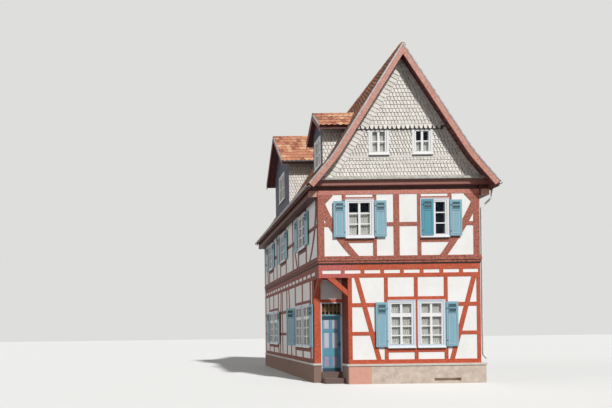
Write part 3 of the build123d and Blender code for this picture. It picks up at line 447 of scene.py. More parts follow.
@dataclass(frozen=True)
class FiredClay(Finish):
    """Clay tile, pressed and fired: each tile has its own firing colour, some pale and some burnt.

    `kinds` is, for the pale and the burnt tiles, the factor that spins each tile's own number, so
    that each kind picks other tiles, and the share that it picks.
    """

    third: str = "#9A5F48"
    pale: str = "#D2A582"
    burnt: str = "#8E5743"
    lichen: str = "#8F8468"
    soot_mm: float = 900.0
    lichen_mm: float = 70.0
    grit_mm: float = 18.0
    kinds: tuple[Span, Span] = ((7.3, 0.26), (13.7, 0.18))

    def dress(self, canvas: Canvas) -> None:
        """Gives each tile its own firing colour, then soot, lichen and grit.

        Args:
            canvas: The material to draw on.
        """
        tree = canvas.tree
        own = add(tree, "ShaderNodeNewGeometry").outputs["Random Per Island"]
        body = canvas.blend(own, self.colour, self.second)
        for (turns, share), tint in zip(self.kinds, (self.pale, self.burnt)):
            spun = add(tree, "ShaderNodeMath", {"operation": "MULTIPLY", 1: turns}, {0: own}).outputs[0]
            part = add(tree, "ShaderNodeMath", {"operation": "FRACT"}, {0: spun}).outputs[0]
            chosen = add(tree, "ShaderNodeMath", {"operation": "LESS_THAN", 1: share}, {0: part}).outputs[0]
            body = canvas.blend(chosen, body, tint)
        sooty = canvas.blend(canvas.patches(self.soot_mm, span=(0.4, 0.9)), body, self.third)
        canvas.coat(canvas.patches(self.lichen_mm, span=(0.58, 0.7)), sooty, self.lichen)
        canvas.relief(canvas.patches(self.grit_mm), depth_mm=1.5, strength=0.6)


@dataclass(frozen=True)
class RolledZinc(Finish):
    """Zinc sheet, rolled and weathered: a dull pale grey metal with cloudy patina."""

    metallic: float = 0.5
    patina_mm: float = 120.0
    dent_mm: float = 40.0

    def dress(self, canvas: Canvas) -> None:
        """Draws the patina's clouds.

        Args:
            canvas: The material to draw on.
        """
        canvas.shader.inputs["Metallic"].default_value = self.metallic
        canvas.coat(canvas.patches(self.patina_mm), self.colour, self.second)
        canvas.relief(canvas.patches(self.dent_mm), depth_mm=0.8, strength=0.3)


@dataclass(frozen=True)
class ForgedIron(Finish):
    """Forged iron with a coat of black paint: dark, slightly glossy, uneven from the hammer."""

    rust_mm: float = 30.0
    hammer_mm: float = 12.0

    def dress(self, canvas: Canvas) -> None:
        """Draws hammer marks and a little rust.

        Args:
            canvas: The material to draw on.
        """
        canvas.coat(canvas.patches(self.rust_mm, span=(0.55, 0.8)), self.colour, self.second)
        canvas.relief(canvas.patches(self.hammer_mm), depth_mm=1.0, strength=0.8)


@dataclass(frozen=True)
class FloatGlass(Finish):
    """Thin window glass, drawn: mostly clear, and what it keeps is glossy and dark blue, the blue a painted
    reflection of the sky.
    """

    alpha: float = 0.14
    ior: float = 1.52
    sky_reflection_mm: float = 400.0
    wave_mm: float = 300.0

    def dress(self, canvas: Canvas) -> None:
        """Sets a clear pane with a slight wave in its gloss, and clouds of painted sky reflection in its dark
        blue.

        Args:
            canvas: The material to draw on.
        """
        # Painted reflection: the pane's two dark blues stand in for the sky that it reflects
        canvas.coat(canvas.patches(self.sky_reflection_mm), self.colour, self.second)
        canvas.shader.inputs["IOR"].default_value = self.ior
        canvas.shader.inputs["Alpha"].default_value = self.alpha
        canvas.relief(canvas.patches(self.wave_mm), depth_mm=1.0, strength=0.2)


@dataclass(frozen=True)
class QuarriedStone(Finish):
    """Stone base: a dressed pink block at the recess, beige lime render beyond, bare stone at the left."""

    block: str = "#DDA48F"
    bare: str = "#8E7366"
    block_ends: Span = (-1.93, -1.09)
    cloud_mm: float = 260.0
    damp_mm: float = 120.0
    damp_value: float = 0.8
    damp_saturation: float = 0.9
    face_mm: float = 22.0

    def dress(self, canvas: Canvas) -> None:
        """Draws the block and the bare stone by their place, then damp patches and a coarse face.

        Args:
            canvas: The material to draw on.
        """
        tree, across = canvas.tree, canvas.across()
        face = canvas.blend(canvas.patches(self.cloud_mm), self.colour, self.second)
        for end, tint in zip(reversed(self.block_ends), (self.block, self.bare)):
            left = add(tree, "ShaderNodeMath", {"operation": "LESS_THAN", 1: end}, {0: across}).outputs[0]
            face = canvas.blend(left, face, tint)
        shade = {"Value": self.damp_value, "Saturation": self.damp_saturation}
        damp = add(tree, "ShaderNodeHueSaturation", shade, {"Color": face}).outputs["Color"]
        canvas.coat(canvas.patches(self.damp_mm, span=(0.5, 0.85)), face, damp)
        canvas.relief(canvas.patches(self.face_mm), depth_mm=3.0, strength=0.8)


@dataclass(frozen=True)
class StudioFloor(Finish):
    """Painted floor, even and matt: pale where it is seen, duller in the light that it sends back."""

    def dress(self, canvas: Canvas) -> None:
        """Shows the pale colour to the camera and in gloss, and the second one to soft light.

        Args:
            canvas: The material to draw on.
        """
        canvas.coat(seen_directly(canvas.tree), self.second, self.colour)


@dataclass(frozen=True)
class WovenNet(Finish):
    """Cotton net, machine woven: off-white, matt, with a soft lace figure."""

    figure_mm: float = 70.0
    thread_mm: float = 6.0

    def dress(self, canvas: Canvas) -> None:
        """Draws the lace figure; its thread is drawn ten times coarser so that it shows.

        Args:
            canvas: The material to draw on.
        """
        scale = {"Scale": 1 / (self.figure_mm * MM)}
        lace = add(canvas.tree, "ShaderNodeTexVoronoi", scale, {"Vector": canvas.place})
        canvas.coat(lace.outputs["Distance"], self.colour, self.second)
        canvas.relief(canvas.patches(self.thread_mm), depth_mm=0.4, strength=0.5)


@dataclass(frozen=True)
class SawnBoards(Finish):
    """Softwood boards, sawn and edge-jointed: parallel dark joints at each board's width.

    A wave texture of scale 1 repeats about each 1 / 3.14 m, which `bands_a_metre` stands for.
    """

    board_mm: float = 140.0
    grain_mm: float = 200.0
    bands_a_metre: float = 3.14
    joint: str = "#1D1310"

    def dress(self, canvas: Canvas) -> None:
        """Draws the joints between boards and their grain.

        Args:
            canvas: The material to draw on.
        """
        scale = 1 / (self.board_mm * MM * self.bands_a_metre)
        bands = {"bands_direction": "X", "Scale": scale, "Distortion": 0.0}
        wave = add(canvas.tree, "ShaderNodeTexWave", bands, {"Vector": canvas.place}).outputs["Fac"]
        ends = {"From Min": 0.0, "From Max": 0.06}
        joint = add(canvas.tree, "ShaderNodeMapRange", ends, {"Value": wave}).outputs["Result"]
        board = canvas.blend(canvas.patches(self.grain_mm), self.colour, self.second)
        canvas.coat(joint, self.joint, board)
        canvas.relief(joint, depth_mm=3.0, strength=0.8)


UPPER_RED = ("#BE6F5C", "#CC806C")
UPPER_PINK = ("#DD9686", "#CE8373")
GROUND_RED = ("#C65F47", "#D06C52")
BLEACHED_RED = "#CC7069"
BARGE_SALMON = ("#DDA797", "#D39382")


def oak(
    name: str,
    reds: tuple[str, str],
    grain: Grain,
    lean: float = 0.0,
    contrast: float = 1.15,
    bleached: str | None = None,
) -> PaintedOak:
    """A red-painted oak finish.

    Args:
        name: The timber that it is for.
        reds: The paint's two shades.
        grain: Which way the grain runs.
        lean: How far a brace leans for each metre of its height.
        contrast: How dark the grain and the painted shade in the adze hollows are.
        bleached: What the paint has bleached to at the left corner, if it has.

    Returns:
        The finish.
    """
    material = "oil_painted_oak_" + name
    return PaintedOak(material, *reds, grain=grain, lean=lean, contrast=contrast, bleached=bleached)


# Dark slate behind the slates; under the gable's scallops it also paints the shade of the recess
SLATE_BACKING_AND_SHADE = SplitSlate("slate_backing", "#4C4A47", "#403E3B", 0.8, third="#363432")
PLASTER = LimePlaster("floated_lime_plaster", "#F8F6F2", "#ECE9E3", 0.9)
# Painted sheen: the slates are drawn paler than their own grey, for the sun's sheen on them
PALE_SLATE = SplitSlate("split_slate_weathered", "#EFEAE1", "#D9D3C9", 0.7, third="#BDB6AB")
DARK_SLATE = SplitSlate("split_slate_shaded", "#686A77", "#545763", 0.6, third="#484B57")
CLAY = FiredClay("pressed_clay_tile", "#C58A66", "#B5745A", 0.85)
# The main roof's tiles are darker than the dormers', partly for moss and soot and partly as painted shade of
# the shaded left slope
MOSSY_SHADED_CLAY = FiredClay(
    "pressed_clay_tile_mossy", "#88533D", "#704332", 0.9,
    third="#523A2E", pale="#93694F", burnt="#523528", lichen="#645C46",
)
SALMON = JoineryPaint("brushed_salmon_board_paint", "#D29683", "#B97A68", 0.5, wear=0.9)
VERGE_BROWN = JoineryPaint("brushed_oxblood_board_paint", "#7A2F26", "#5E241F", 0.5)
FRIEZE_BROWN = JoineryPaint("brushed_brown_board_paint", "#935F54", "#7A483F", 0.55)
EAVES_BROWN = JoineryPaint("brushed_dark_brown_beam_paint", "#50291F", "#3C1E17", 0.55)
# Painted shade: the attic floor's edge is drawn dark for the shade in its recess under the frieze
ATTIC_EDGE_SHADE = JoineryPaint("oiled_dark_floor_board", "#50332F", "#3C2523", 0.6)
SOFFIT = SawnBoards("sawn_soffit_boards", "#75423C", "#5F3532", 0.7)
FLOOR_BOARDS = SawnBoards("sawn_floor_boards", "#7B6448", "#66523B", 0.7)
ZINC = RolledZinc("rolled_zinc_sheet", "#AEAFAF", "#8E9192", 0.5, metallic=0.3)
OLD_ZINC = RolledZinc("rolled_zinc_moulding", "#BEBBB2", "#9B9992", 0.6, metallic=0.2)
BRIGHT_ZINC = RolledZinc("painted_zinc_pipe", "#F1F1EF", "#DCDDDD", 0.6, metallic=0.0)
WHITE_PAINT = JoineryPaint("brushed_white_window_paint", "#F4F3F1", "#DEDFE1", 0.4, wear=0.3)
LILAC_WHITE = JoineryPaint("brushed_lilac_white_casing_paint", "#E8E6EA", "#D6D3DA", 0.4, wear=0.3)
GREY_WHITE = JoineryPaint("brushed_grey_white_casing_paint", "#ECEBE8", "#D8D7D5", 0.4, wear=0.3)
BLUE_WHITE = JoineryPaint("brushed_pale_blue_casing_paint", "#D5DEE9", "#BFCAD8", 0.4, wear=0.3)
# Painted shade: grey strips in the gap round each sash and under each sill
REBATE_SHADE_GREY = JoineryPaint("rebate_gap_grey", "#5C5A62", "#4C4A52", 0.8)
# Painted reflection: the glass's dark blue stands in for the reflected sky
GLASS = FloatGlass("drawn_window_glass", "#141C2C", "#202C44", 0.04)
TURQUOISE = ShutterPaint("brushed_turquoise_shutter_paint", "#86B2BF", "#73A2B1", 0.45)
# Painted shade: the louvres' slats are drawn a darker turquoise and their hollow a dark plate, for the shade
# inside the louvres
SHADED_TURQUOISE = JoineryPaint("brushed_turquoise_slat_paint", "#477380", "#3B6572", 0.5)
LOUVRE_DARK = JoineryPaint("louvre_hollow_shade", "#1F3138", "#182830", 0.7)
LILAC = JoineryPaint("brushed_lilac_line_paint", "#D5CCDB", "#BFB5C8", 0.45)
DOOR_TEAL = JoineryPaint("brushed_teal_door_paint", "#5B95A8", "#467E94", 0.35)
# Painted shade: a navy board across the door's foot darkens it as if in shadow
DOOR_FOOT_SHADE_NAVY = JoineryPaint("brushed_navy_kick_paint", "#2E4A5C", "#223745", 0.35)
PANEL_LILAC = JoineryPaint("brushed_lilac_panel_paint", "#C6C2CE", "#AEA9BB", 0.35)
PANEL_PLUM = JoineryPaint("brushed_plum_panel_paint", "#9F96AE", "#6F6883", 0.25)
IRON = ForgedIron("forged_black_iron", "#26282A", "#4A342A", 0.5)
# Painted shadow: black strips along the joint between the storeys and at the upper sill's steps
SHADOW_BLACK = ForgedIron("tarred_joint", "#17110F", "#2A1C18", 0.8)
PEG = ForgedIron("oak_peg_end", "#43190F", "#32150F", 0.7)
BASE_STONE = QuarriedStone("dressed_base_stone", "#DFCDBC", "#C9B6A5", 0.9)
STEP_STONE = QuarriedStone(
    "dressed_step_stone", "#8F8076", "#776A63", 0.85, block="#8B6F66", bare="#6E5C54"
)
COPING_STONE = LimePlaster("dressed_coping_stone", "#D8D4CA", "#BBB7AD", 0.85)
NET = WovenNet("woven_cotton_net", "#E6E7DC", "#F6F6EF", 0.95)
BRASS_BROWN = ForgedIron("cast_brown_grille", "#A5835A", "#7D6038", 0.5)


# Mesh helpers


def placed(name: str, data: bpy.types.ID) -> bpy.types.Object:
    """Puts a new object into the scene.

    Args:
        name: The object's name.
        data: Its mesh, lamp or camera.

    Returns:
        The object.
    """
    made = bpy.data.objects.new(name, data)
    bpy.context.scene.collection.objects.link(made)
    return made


def arc(start: int, stop: int, step: int) -> Outline:
    """The cosine and sine of each angle from start up to stop, in whole degrees."""
    return [(math.cos(math.radians(turn)), math.sin(math.radians(turn))) for turn in range(start, stop, step)]


class Side(Enum):
    """Which way a wall faces, in plan."""

    FRONT = (0, -1)
    BACK = (0, 1)
    LEFT = (-1, 0)
    RIGHT = (1, 0)


@dataclass
class Wall:
    """An upright wall: where it starts, which way it runs and which way it faces."""

    origin: Vector
    along: Vector
    outward: Vector

    @classmethod
    def facing(cls, side: Side, x: float = 0.0, y: float = 0.0) -> Wall:
        """A wall that runs right as it is seen from outside.

        Args:
            side: The way it faces.
            x: How far right a point of it is.
            y: How far back that point is.

        Returns:
            The wall.
        """
        outward = Vector((*side.value, 0))
        return cls(Vector((x, y, 0)), Vector((0, 0, 1)).cross(outward), outward)

    def at(self, run: float, level: float, out: float) -> Vector:
        """The point so far along, up and out."""
        return self.origin + self.along * run + Vector((0, 0, level)) + self.outward * out


class Sketch:
    """Gathers closed solids and turns them into one piece."""

    def __init__(self) -> None:
        """Starts empty."""
        self.points: list[Vector] = []
        self.faces: list[tuple[int, ...]] = []

    def solid(self, points: Iterable[Vector], faces: Iterable[tuple[int, ...]]) -> None:
        """Adds a solid.

        Args:
            points: Its points.
            faces: Its faces, each by its points' numbers.
        """
        start = len(self.points)
        self.points.extend(points)
        self.faces.extend(tuple(start + i for i in face) for face in faces)

    def prism(self, outline: list[Vector], depth: Vector) -> None:
        """Adds an outline extruded by a vector.

        Args:
            outline: The near face's corners, counter-clockwise seen against the depth.
            depth: From the near face to the far one.
        """
        count = len(outline)
        faces = [tuple(range(count)), tuple(reversed(range(count, 2 * count)))]
        for i in range(count):
            j = (i + 1) % count
            faces.append((i, i + count, j + count, j))
        self.solid([*outline, *[p + depth for p in outline]], faces)

    def slab(self, wall: Wall, edges: Edges, out: float, thick: float) -> None:
        """Adds a board on a wall.

        Args:
            wall: The wall.
            edges: The board's left, low, right and high edges on it.
            out: How far its face stands out.
            thick: How thick it is.
        """
        left, low, right, high = edges
        corners = ((left, low), (right, low), (right, high), (left, high))
        self.prism([wall.at(run, level, out) for run, level in corners], wall.outward * -thick)

    def ring(self, wall: Wall, edges: Edges, width: float, out: float, thick: float) -> None:
        """Adds four boards inside a rectangle, the upright ones from end to end.

        Args:
            wall: The wall.
            edges: The rectangle.
            width: How wide each board is.
            out: How far their faces stand out.
            thick: How thick they are.
        """
        left, low, right, high = edges
        west, east = left + width, right - width
        for board in (
            (left, low, west, high), (east, low, right, high),
            (west, low, east, low + width), (west, high - width, east, high),
        ):
            self.slab(wall, board, out, thick)

    def sweep(self, stations: list[list[Vector]]) -> None:
        """Adds a solid through like sections.

        Args:
            stations: The sections, each a ring of as many points.
        """
        count = len(stations[0])
        faces = [tuple(reversed(range(count)))]
        for row in range(len(stations) - 1):
            for i in range(count):
                j = (i + 1) % count
                faces.append((row * count + i, row * count + j, (row + 1) * count + j, (row + 1) * count + i))
        faces.append(tuple(range((len(stations) - 1) * count, len(stations) * count)))
        self.solid([p for ring in stations for p in ring], faces)

    def piece(
        self, name: str, finish: Finish, slot: str, body: str = HOUSE, smooth_deg: float | None = None
    ) -> bpy.types.Object:
        """Makes the piece and rides it on a body.

        Args:
            name: The piece's name.
            finish: Its finish.
            slot: The record's slot that it belongs to; not used.
            body: The body that carries it.
            smooth_deg: Edges flatter than this are smooth, or none where it isn't given.

        Returns:
            The new object.
        """
        mesh = bpy.data.meshes.new(name)
        mesh.from_pydata([tuple(p) for p in self.points], [], self.faces)
        mesh.validate()
        if smooth_deg is not None:
            mesh.shade_smooth()
            mesh.set_sharp_from_angle(angle=math.radians(smooth_deg))
        piece = placed(name, mesh)
        mesh.materials.append(finish.material())
        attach(piece, body)
        LOG.info("piece %s: %d faces", name, len(mesh.polygons))
        return piece


@dataclass
class Solid:
    """One solid of a CAD node, by its points."""

    points: list[Vector]

    @property
    def low(self) -> Vector:
        """Its box's lowest corner."""
        return Vector([min(p[i] for p in self.points) for i in range(3)])

    @property
    def high(self) -> Vector:
        """Its box's highest corner."""
        return Vector([max(p[i] for p in self.points) for i in range(3)])


def solids(node: str) -> list[Solid]:
    """Splits a CAD node into its solids.

    Args:
        node: The node's name.

    Returns:
        One entry for each solid that touches no other.
    """
    mesh, decimals = NODES[node].data, 4
    keys = [tuple(round(c, decimals) for c in v.co) for v in mesh.vertices]
    parent: dict[tuple[float, ...], tuple[float, ...]] = {key: key for key in keys}

    def root(key: tuple[float, ...]) -> tuple[float, ...]:
        """Follows a point to its solid's first one."""
        while parent[key] != key:
            parent[key] = parent[parent[key]]
            key = parent[key]
        return key

    for polygon in mesh.polygons:
        first = root(keys[polygon.vertices[0]])
        for index in polygon.vertices[1:]:
            parent[root(keys[index])] = first
    groups: dict[tuple[float, ...], list[Vector]] = {}
    for key in parent:
        groups.setdefault(root(key), []).append(Vector(key))
    return [Solid(groups[key]) for key in sorted(groups)]


def clip(outline: Outline, inside: Callable[[float, float], float]) -> Outline:
    """Cuts an outline with a half-plane.

    Args:
        outline: The corners.
        inside: A linear function that is positive on the kept side.

    Returns:
        The corners that are left.
    """
    kept: Outline = []
    for (ax, ay), (bx, by) in zip(outline, outline[1:] + outline[:1]):
        a, b = inside(ax, ay), inside(bx, by)
        if a >= 0:
            kept.append((ax, ay))
        if a * b < 0:
            share = a / (a - b)
            kept.append((ax + (bx - ax) * share, ay + (by - ay) * share))
    return kept


def area(outline: Outline) -> float:
    """Measures the area inside an outline.

    Args:
        outline: The corners.

    Returns:
        The area, which is none for a line.
    """
    if len(outline) < 3:
        return 0.0
    return abs(sum(ax * by - bx * ay for (ax, ay), (bx, by) in zip(outline, outline[1:] + outline[:1]))) / 2


def clip_to(outline: Outline, region: Outline) -> Outline:
    """Cuts an outline to a convex region.

    Args:
        outline: The corners.
        region: The region's corners, counter-clockwise.

    Returns:
        The corners that are left.
    """
    for (ax, ay), (bx, by) in zip(region, region[1:] + region[:1]):
        outline = clip(outline, lambda x, y: (bx - ax) * (y - ay) - (by - ay) * (x - ax))
    return outline


def clip_off(outline: Outline, hole: Edges) -> Outline:
    """Cuts an outline back to its largest part beside, under or over a rectangle.

    Args:
        outline: The corners.
        hole: The rectangle.

    Returns:
        The corners that are left.
    """
    left, low, right, high = hole
    xs, ys = [p[0] for p in outline], [p[1] for p in outline]
    if max(xs) <= left or min(xs) >= right or max(ys) <= low or min(ys) >= high:
        return outline
    sides = (lambda x, y: left - x, lambda x, y: x - right, lambda x, y: low - y, lambda x, y: y - high)
    return max((clip(outline, side) for side in sides), key=area)


# Roof


@dataclass
class RoofLine:
    """The main roof's section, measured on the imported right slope, clear of the dormers."""

    node: str = "roof_right"
    station: float = -0.2
    samples: int = 60
    inset: float = 0.002
    top: list[Vector] = field(init=False)
    under: list[Vector] = field(init=False)

    def __post_init__(self) -> None:
        """Casts rays on the slope from above and below."""
        mesh = NODES[self.node].data
        surface = BVHTree.FromPolygons([v.co for v in mesh.vertices], [p.vertices for p in mesh.polygons])
        low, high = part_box(self.node)
        self.top, self.under = [], []
        for i in range(self.samples + 1):
            x = high.x - self.inset - (high.x - low.x - 2 * self.inset) * i / self.samples
            for line, start, way in ((self.top, high.z + 1, -1), (self.under, low.z - 1, 1)):
                hit = surface.ray_cast(Vector((x, self.station, start)), Vector((0, 0, way)))[0]
                line.append(Vector((hit.x, 0, hit.z)))

    @property
    def foot(self) -> float:
        """The level of the eave's underside."""
        return self.under[0].z

    @property
    def peak(self) -> float:
        """The level of the ridge's underside."""
        return self.under[-1].z

    def height(self, across: float) -> float:
        """Reads the covering's level off its section.

        Args:
            across: The distance from the ridge's line, to either side.

        Returns:
            The level there.
        """
        across = abs(across)
        for near, far in zip(self.top, self.top[1:]):
            if far.x <= across <= near.x:
                return near.z + (far.z - near.z) * (near.x - across) / (near.x - far.x)
        return self.top[-1].z if across < self.top[-1].x else self.top[0].z

    def half_width(self, level: float) -> float:
        """Half the width of the space under the roof at a level."""
        return self.reach(level, self.under)

    def reach(self, level: float, line: list[Vector] | None = None) -> float:
        """Reads how far from the ridge's line the roof is at a level.

        Args:
            level: The level.
            line: What is read, if it isn't the covering.

        Returns:
            The distance.
        """
        line = line or self.top
        for near, far in zip(line, line[1:]):
            if near.z <= level <= far.z and far.z > near.z:
                return near.x + (far.x - near.x) * (level - near.z) / (far.z - near.z)
        return 0.0 if level > line[-1].z else line[0].x


@dataclass
class Slope:
    """A roof slope: a section from eave to ridge that runs along a level way."""

    section: list[Vector]
    run: Vector
    length: float
    marks: list[float] = field(init=False)

    def __post_init__(self) -> None:
        """Adds up the section's length."""
        self.marks = [0.0]
        for near, far in zip(self.section, self.section[1:]):
            self.marks.append(self.marks[-1] + (far - near).length)

    @property
    def height(self) -> float:
        """The section's length."""
        return self.marks[-1]

    def at(self, across: float, up: float, lift: float = 0.0) -> Vector:
        """Finds a point on the slope or off it.

        Args:
            across: How far along the run it is.
            up: How far up the section.
            lift: How far off the surface.

        Returns:
            The point.
        """
        index = min(max(bisect_right(self.marks, up) - 1, 0), len(self.section) - 2)
        near, far = self.section[index], self.section[index + 1]
        tangent = (far - near).normalized()
        normal = self.run.cross(tangent)
        if normal.z < 0:
            normal = -normal
        return near + tangent * (up - self.marks[index]) + self.run * across + normal * lift


@dataclass
class ClayTiles:
    """Interlocking clay tiles, laid in straight rows from the eave up.

    `slip` and `rock` are how far a tile may lie off its course and how far its tail may rise.
    """

    width: float = 0.207
    gauge: float = 0.29
    overlap: float = 0.05
    thick: float = 0.013
    roll: float = 0.03
    roll_sharpness: float = 1.4
    tail_lift: float = 0.026
    head_lift: float = 0.004
    eave_out: float = 0.045
    cover: float = 0.995
    slip: float = 0.003
    rock: float = 0.002
    sections: int = 6
    smooth_deg: float = 50.0

    def lay(
        self, name: str, slope: Slope, finish: Finish, keeps: Callable[[Vector], bool] = lambda point: True
    ) -> None:
        """Covers a slope.

        Args:
            name: The piece's name.
            slope: What is covered.
            finish: The tiles' finish.
            keeps: Tells for a tile's middle whether it is laid.
        """
        chance = random.Random(name)
        rows, columns = max(1, round(slope.height / self.gauge)), max(1, round(slope.length / self.width))
        gauge, width = slope.height / rows, slope.length / columns
        sketch = Sketch()
        for row in range(rows):
            for column in range(columns):
                if keeps(slope.at((column + 0.5) * width, (row + 0.5) * gauge)):
                    self.tile(sketch, slope, (column * width, row * gauge), (width, gauge), chance)
        sketch.piece(name, finish, "roof_tile", smooth_deg=self.smooth_deg)

    def tile(self, sketch: Sketch, slope: Slope, corner: Span, size: Span, chance: random.Random) -> None:
        """Adds one tile: a shallow trough with a roll at each side, its tail on the tile below.

        Args:
            sketch: Where it goes.
            slope: What it lies on.
            corner: Its left edge along the slope and the level of its course.
            size: Its visible width and length.
            chance: The source of the small differences between tiles.
        """
        (left, foot), (width, gauge) = corner, size
        slip = chance.uniform(-1, 1) * self.slip
        rise = chance.uniform(-1, 1) * self.rock
        tail = foot - self.eave_out + slip
        head = min(foot + gauge + self.overlap - self.eave_out, slope.height)
        points: list[Vector] = []
        for up, lift in ((tail, self.tail_lift + rise), (head, self.head_lift)):
            for under in (0, self.thick):
                for k in range(self.sections + 1):
                    share = k / self.sections
                    wave = self.roll * (0.5 + 0.5 * math.cos(2 * math.pi * share)) ** self.roll_sharpness
                    across = left + share * width * self.cover
                    points.append(slope.at(across, up, lift + wave + self.thick - under))
        n = self.sections + 1
        faces: list[tuple[int, ...]] = []
        for k in range(self.sections):
            faces += [
                (k, k + 1, 2 * n + k + 1, 2 * n + k), (n + k + 1, n + k, 3 * n + k, 3 * n + k + 1),
                (k + 1, k, n + k, n + k + 1), (2 * n + k, 2 * n + k + 1, 3 * n + k + 1, 3 * n + k),
            ]
        faces += [(0, 2 * n, 3 * n, n), (2 * n - 1, 4 * n - 1, 3 * n - 1, n - 1)]
        sketch.solid(points, faces)


@dataclass
class Dormer:
    """A gabled dormer on the left slope, by its CAD sizes.

    `middle` is how far back it stands, `face` and `verge` are how far right its front and its roof's
    front edge are, and `rise` is how steep its roof is.
    """

    name: str
    middle: float
    face: float
    wall_half: float
    verge: float
    roof_half: float
    ridge: float
    rise: float
    window: Span
    window_foot: float
    roof_thick: float = 0.09
    casing: float = 0.035

    @property
    def eave(self) -> float:
        """The level of its eaves' top edge."""
        return self.ridge - self.roof_half * self.rise

    @property
    def peak(self) -> float:
        """The level of its ridge's underside."""
        return self.ridge - self.roof_thick * math.hypot(1, self.rise)

    @property
    def wall_top(self) -> float:
        """The level at which its cheeks meet its roof."""
        return self.ridge - self.wall_half * self.rise - self.roof_thick * math.hypot(1, self.rise)

    def covers(self, point: Vector) -> bool:
        """Whether a point of the main slope lies inside its walls."""
        aside = abs(point.y - self.middle)
        return aside < self.wall_half and point.x > self.face and point.z < self.ridge - aside * self.rise

    def slope(self, side: int) -> Slope:
        """One of its two slopes, as far back as the main roof's ridge."""
        eave = Vector((self.verge, self.middle + side * self.roof_half, self.eave))
        return Slope([eave, Vector((self.verge, self.middle, self.ridge))], Vector((1, 0, 0)), -self.verge)

    def hole(self) -> Edges:
        """Its window with its casing, from the dormer's middle."""
        half, low = self.window[0] / 2 + self.casing, self.window_foot - self.casing
        return -half, low, half, self.window_foot + self.window[1] + self.casing


DORMERS = (
    Dormer(
        "small", middle=1.13, face=-2.6, wall_half=0.53, verge=-2.78, roof_half=0.84, ridge=10.571,
        rise=0.965, window=(0.70, 1.115), window_foot=8.45,
    ),
    Dormer(
        "large", middle=6.30, face=-2.8, wall_half=1.41, verge=-3.20, roof_half=1.775, ridge=11.976,
        rise=1.062, window=(1.06, 1.32), window_foot=8.675,
    ),
)


@dataclass
class RoofCovering:
    """Tiles on the main roof and the dormers, with the metal edges along the verges.

    An edge is a bent strip: `edge_lip` is its lower and upper edge against the roof's face, and
    `edge_back` how far it reaches back over the tiles and the level that it ends at there. A ridge
    tile's `ridge_collar` is each station's place along it and how much wider it is there.
    """

    line: RoofLine
    tiles: ClayTiles = field(default_factory=ClayTiles)
    tuck: float = 0.03
    board: float = 0.035
    edge_out: float = 0.008
    edge_lip: Span = (-0.012, 0.024)
    edge_back: Span = (0.055, 0.045)
    edge_thick: float = 0.006
    gutter_radius: float = 0.05
    gutter_wall: float = 0.006
    gutter_aside: float = 0.6
    gutter_drop: float = 0.02
    ridge_length: float = 0.36
    ridge_radius: float = 0.085
    ridge_gap: float = 0.012
    ridge_collar: tuple[Span, ...] = ((0.0, 0.012), (0.06, 0.004))
    ridge_out: float = 0.03
    ridge_drop: float = 0.02
    ridge_end: float = -0.3
    smooth_deg: float = 40.0

    def build(self) -> None:
        """Lays every slope and edges each slope's first verge."""
        low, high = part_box("roof_right")
        for side, name in ((1, "right"), (-1, "left")):
            section = [Vector((side * p.x, low.y, p.z)) for p in self.line.top]
            slope = Slope(section, Vector((0, 1, 0)), high.y - low.y)
            keeps = self.free if side < 0 else lambda point: True
            self.tiles.lay("roof_tiles_" + name, slope, MOSSY_SHADED_CLAY, keeps)
            self.edge("verge_edge_" + name, slope)
        for dormer in DORMERS:
            for side, name in ((-1, "near"), (1, "far")):
                self.tiles.lay(f"{dormer.name}_dormer_tiles_{name}", dormer.slope(side), CLAY, self.outside)
                self.edge(f"{dormer.name}_dormer_edge_{name}", dormer.slope(side))
            self.ridge(dormer)
        self.gutter(DORMERS[1])

    def free(self, point: Vector) -> bool:
        """Whether a tile of the left slope lies outside every dormer."""
        return not any(dormer.covers(point) for dormer in DORMERS)

    def outside(self, point: Vector) -> bool:
        """Whether a dormer's tile lies above the main roof."""
        return point.z > self.line.height(point.x) - self.tuck

    def edge(self, name: str, slope: Slope) -> None:
        """Bends a metal strip along a slope's first verge.

        Args:
            name: The piece's name.
            slope: The slope that it closes.
        """
        (low, high), (run_back, top) = self.edge_lip, self.edge_back
        out, thick = self.board + self.edge_out, self.edge_thick
        profile = (
            (out, low), (out, high), (out - run_back, top), (out - run_back, top - thick),
            (out - thick, high - thick), (out - thick, low),
        )
        sketch = Sketch()
        sketch.sweep([
            [slope.at(0, up, lift) - slope.run * reach for reach, lift in profile] for up in slope.marks
        ])
        sketch.piece(name, ZINC, "zinc")

    def gutter(self, dormer: Dormer) -> None:
        """Hangs a half-round gutter along a dormer's near eave, as far back as the main roof.

        Args:
            dormer: The dormer.
        """
        outer, inner = self.gutter_radius, self.gutter_radius - self.gutter_wall
        bend, end = arc(180, 361, 20), -self.line.reach(dormer.eave) - outer
        middle = dormer.middle - dormer.roof_half - outer * self.gutter_aside
        level = dormer.eave - self.gutter_drop
        profile = [(outer * c, outer * s) for c, s in bend]
        profile += [(inner * c, inner * s) for c, s in reversed(bend)]
        sketch = Sketch()
        sketch.sweep([[Vector((x, middle + y, level + z)) for y, z in profile] for x in (dormer.verge, end)])
        sketch.piece(dormer.name + "_dormer_gutter", ZINC, "zinc", smooth_deg=self.smooth_deg)

    def ridge(self, dormer: Dormer) -> None:
        """Lays half-round ridge tiles on a dormer, as far as they stand clear of the main roof.

        Args:
            dormer: The dormer.
        """
        length, radius, bend = self.ridge_length, self.ridge_radius, arc(-110, 111, 20)
        level = dormer.ridge - self.ridge_drop
        stations = [(place, radius + wider) for place, wider in self.ridge_collar]
        stations.append((length - self.ridge_gap, radius))
        sketch = Sketch()
        start = dormer.verge - self.ridge_out
        while dormer.ridge + radius > self.line.height(start + length / 2) and start < self.ridge_end:
            sketch.sweep([
                [Vector((start + place, dormer.middle + size * s, level + size * c)) for c, s in bend]
                for place, size in stations
            ])
            start += length
        sketch.piece(dormer.name + "_dormer_ridge_tiles", CLAY, "roof_tile", smooth_deg=self.smooth_deg)


# Slates


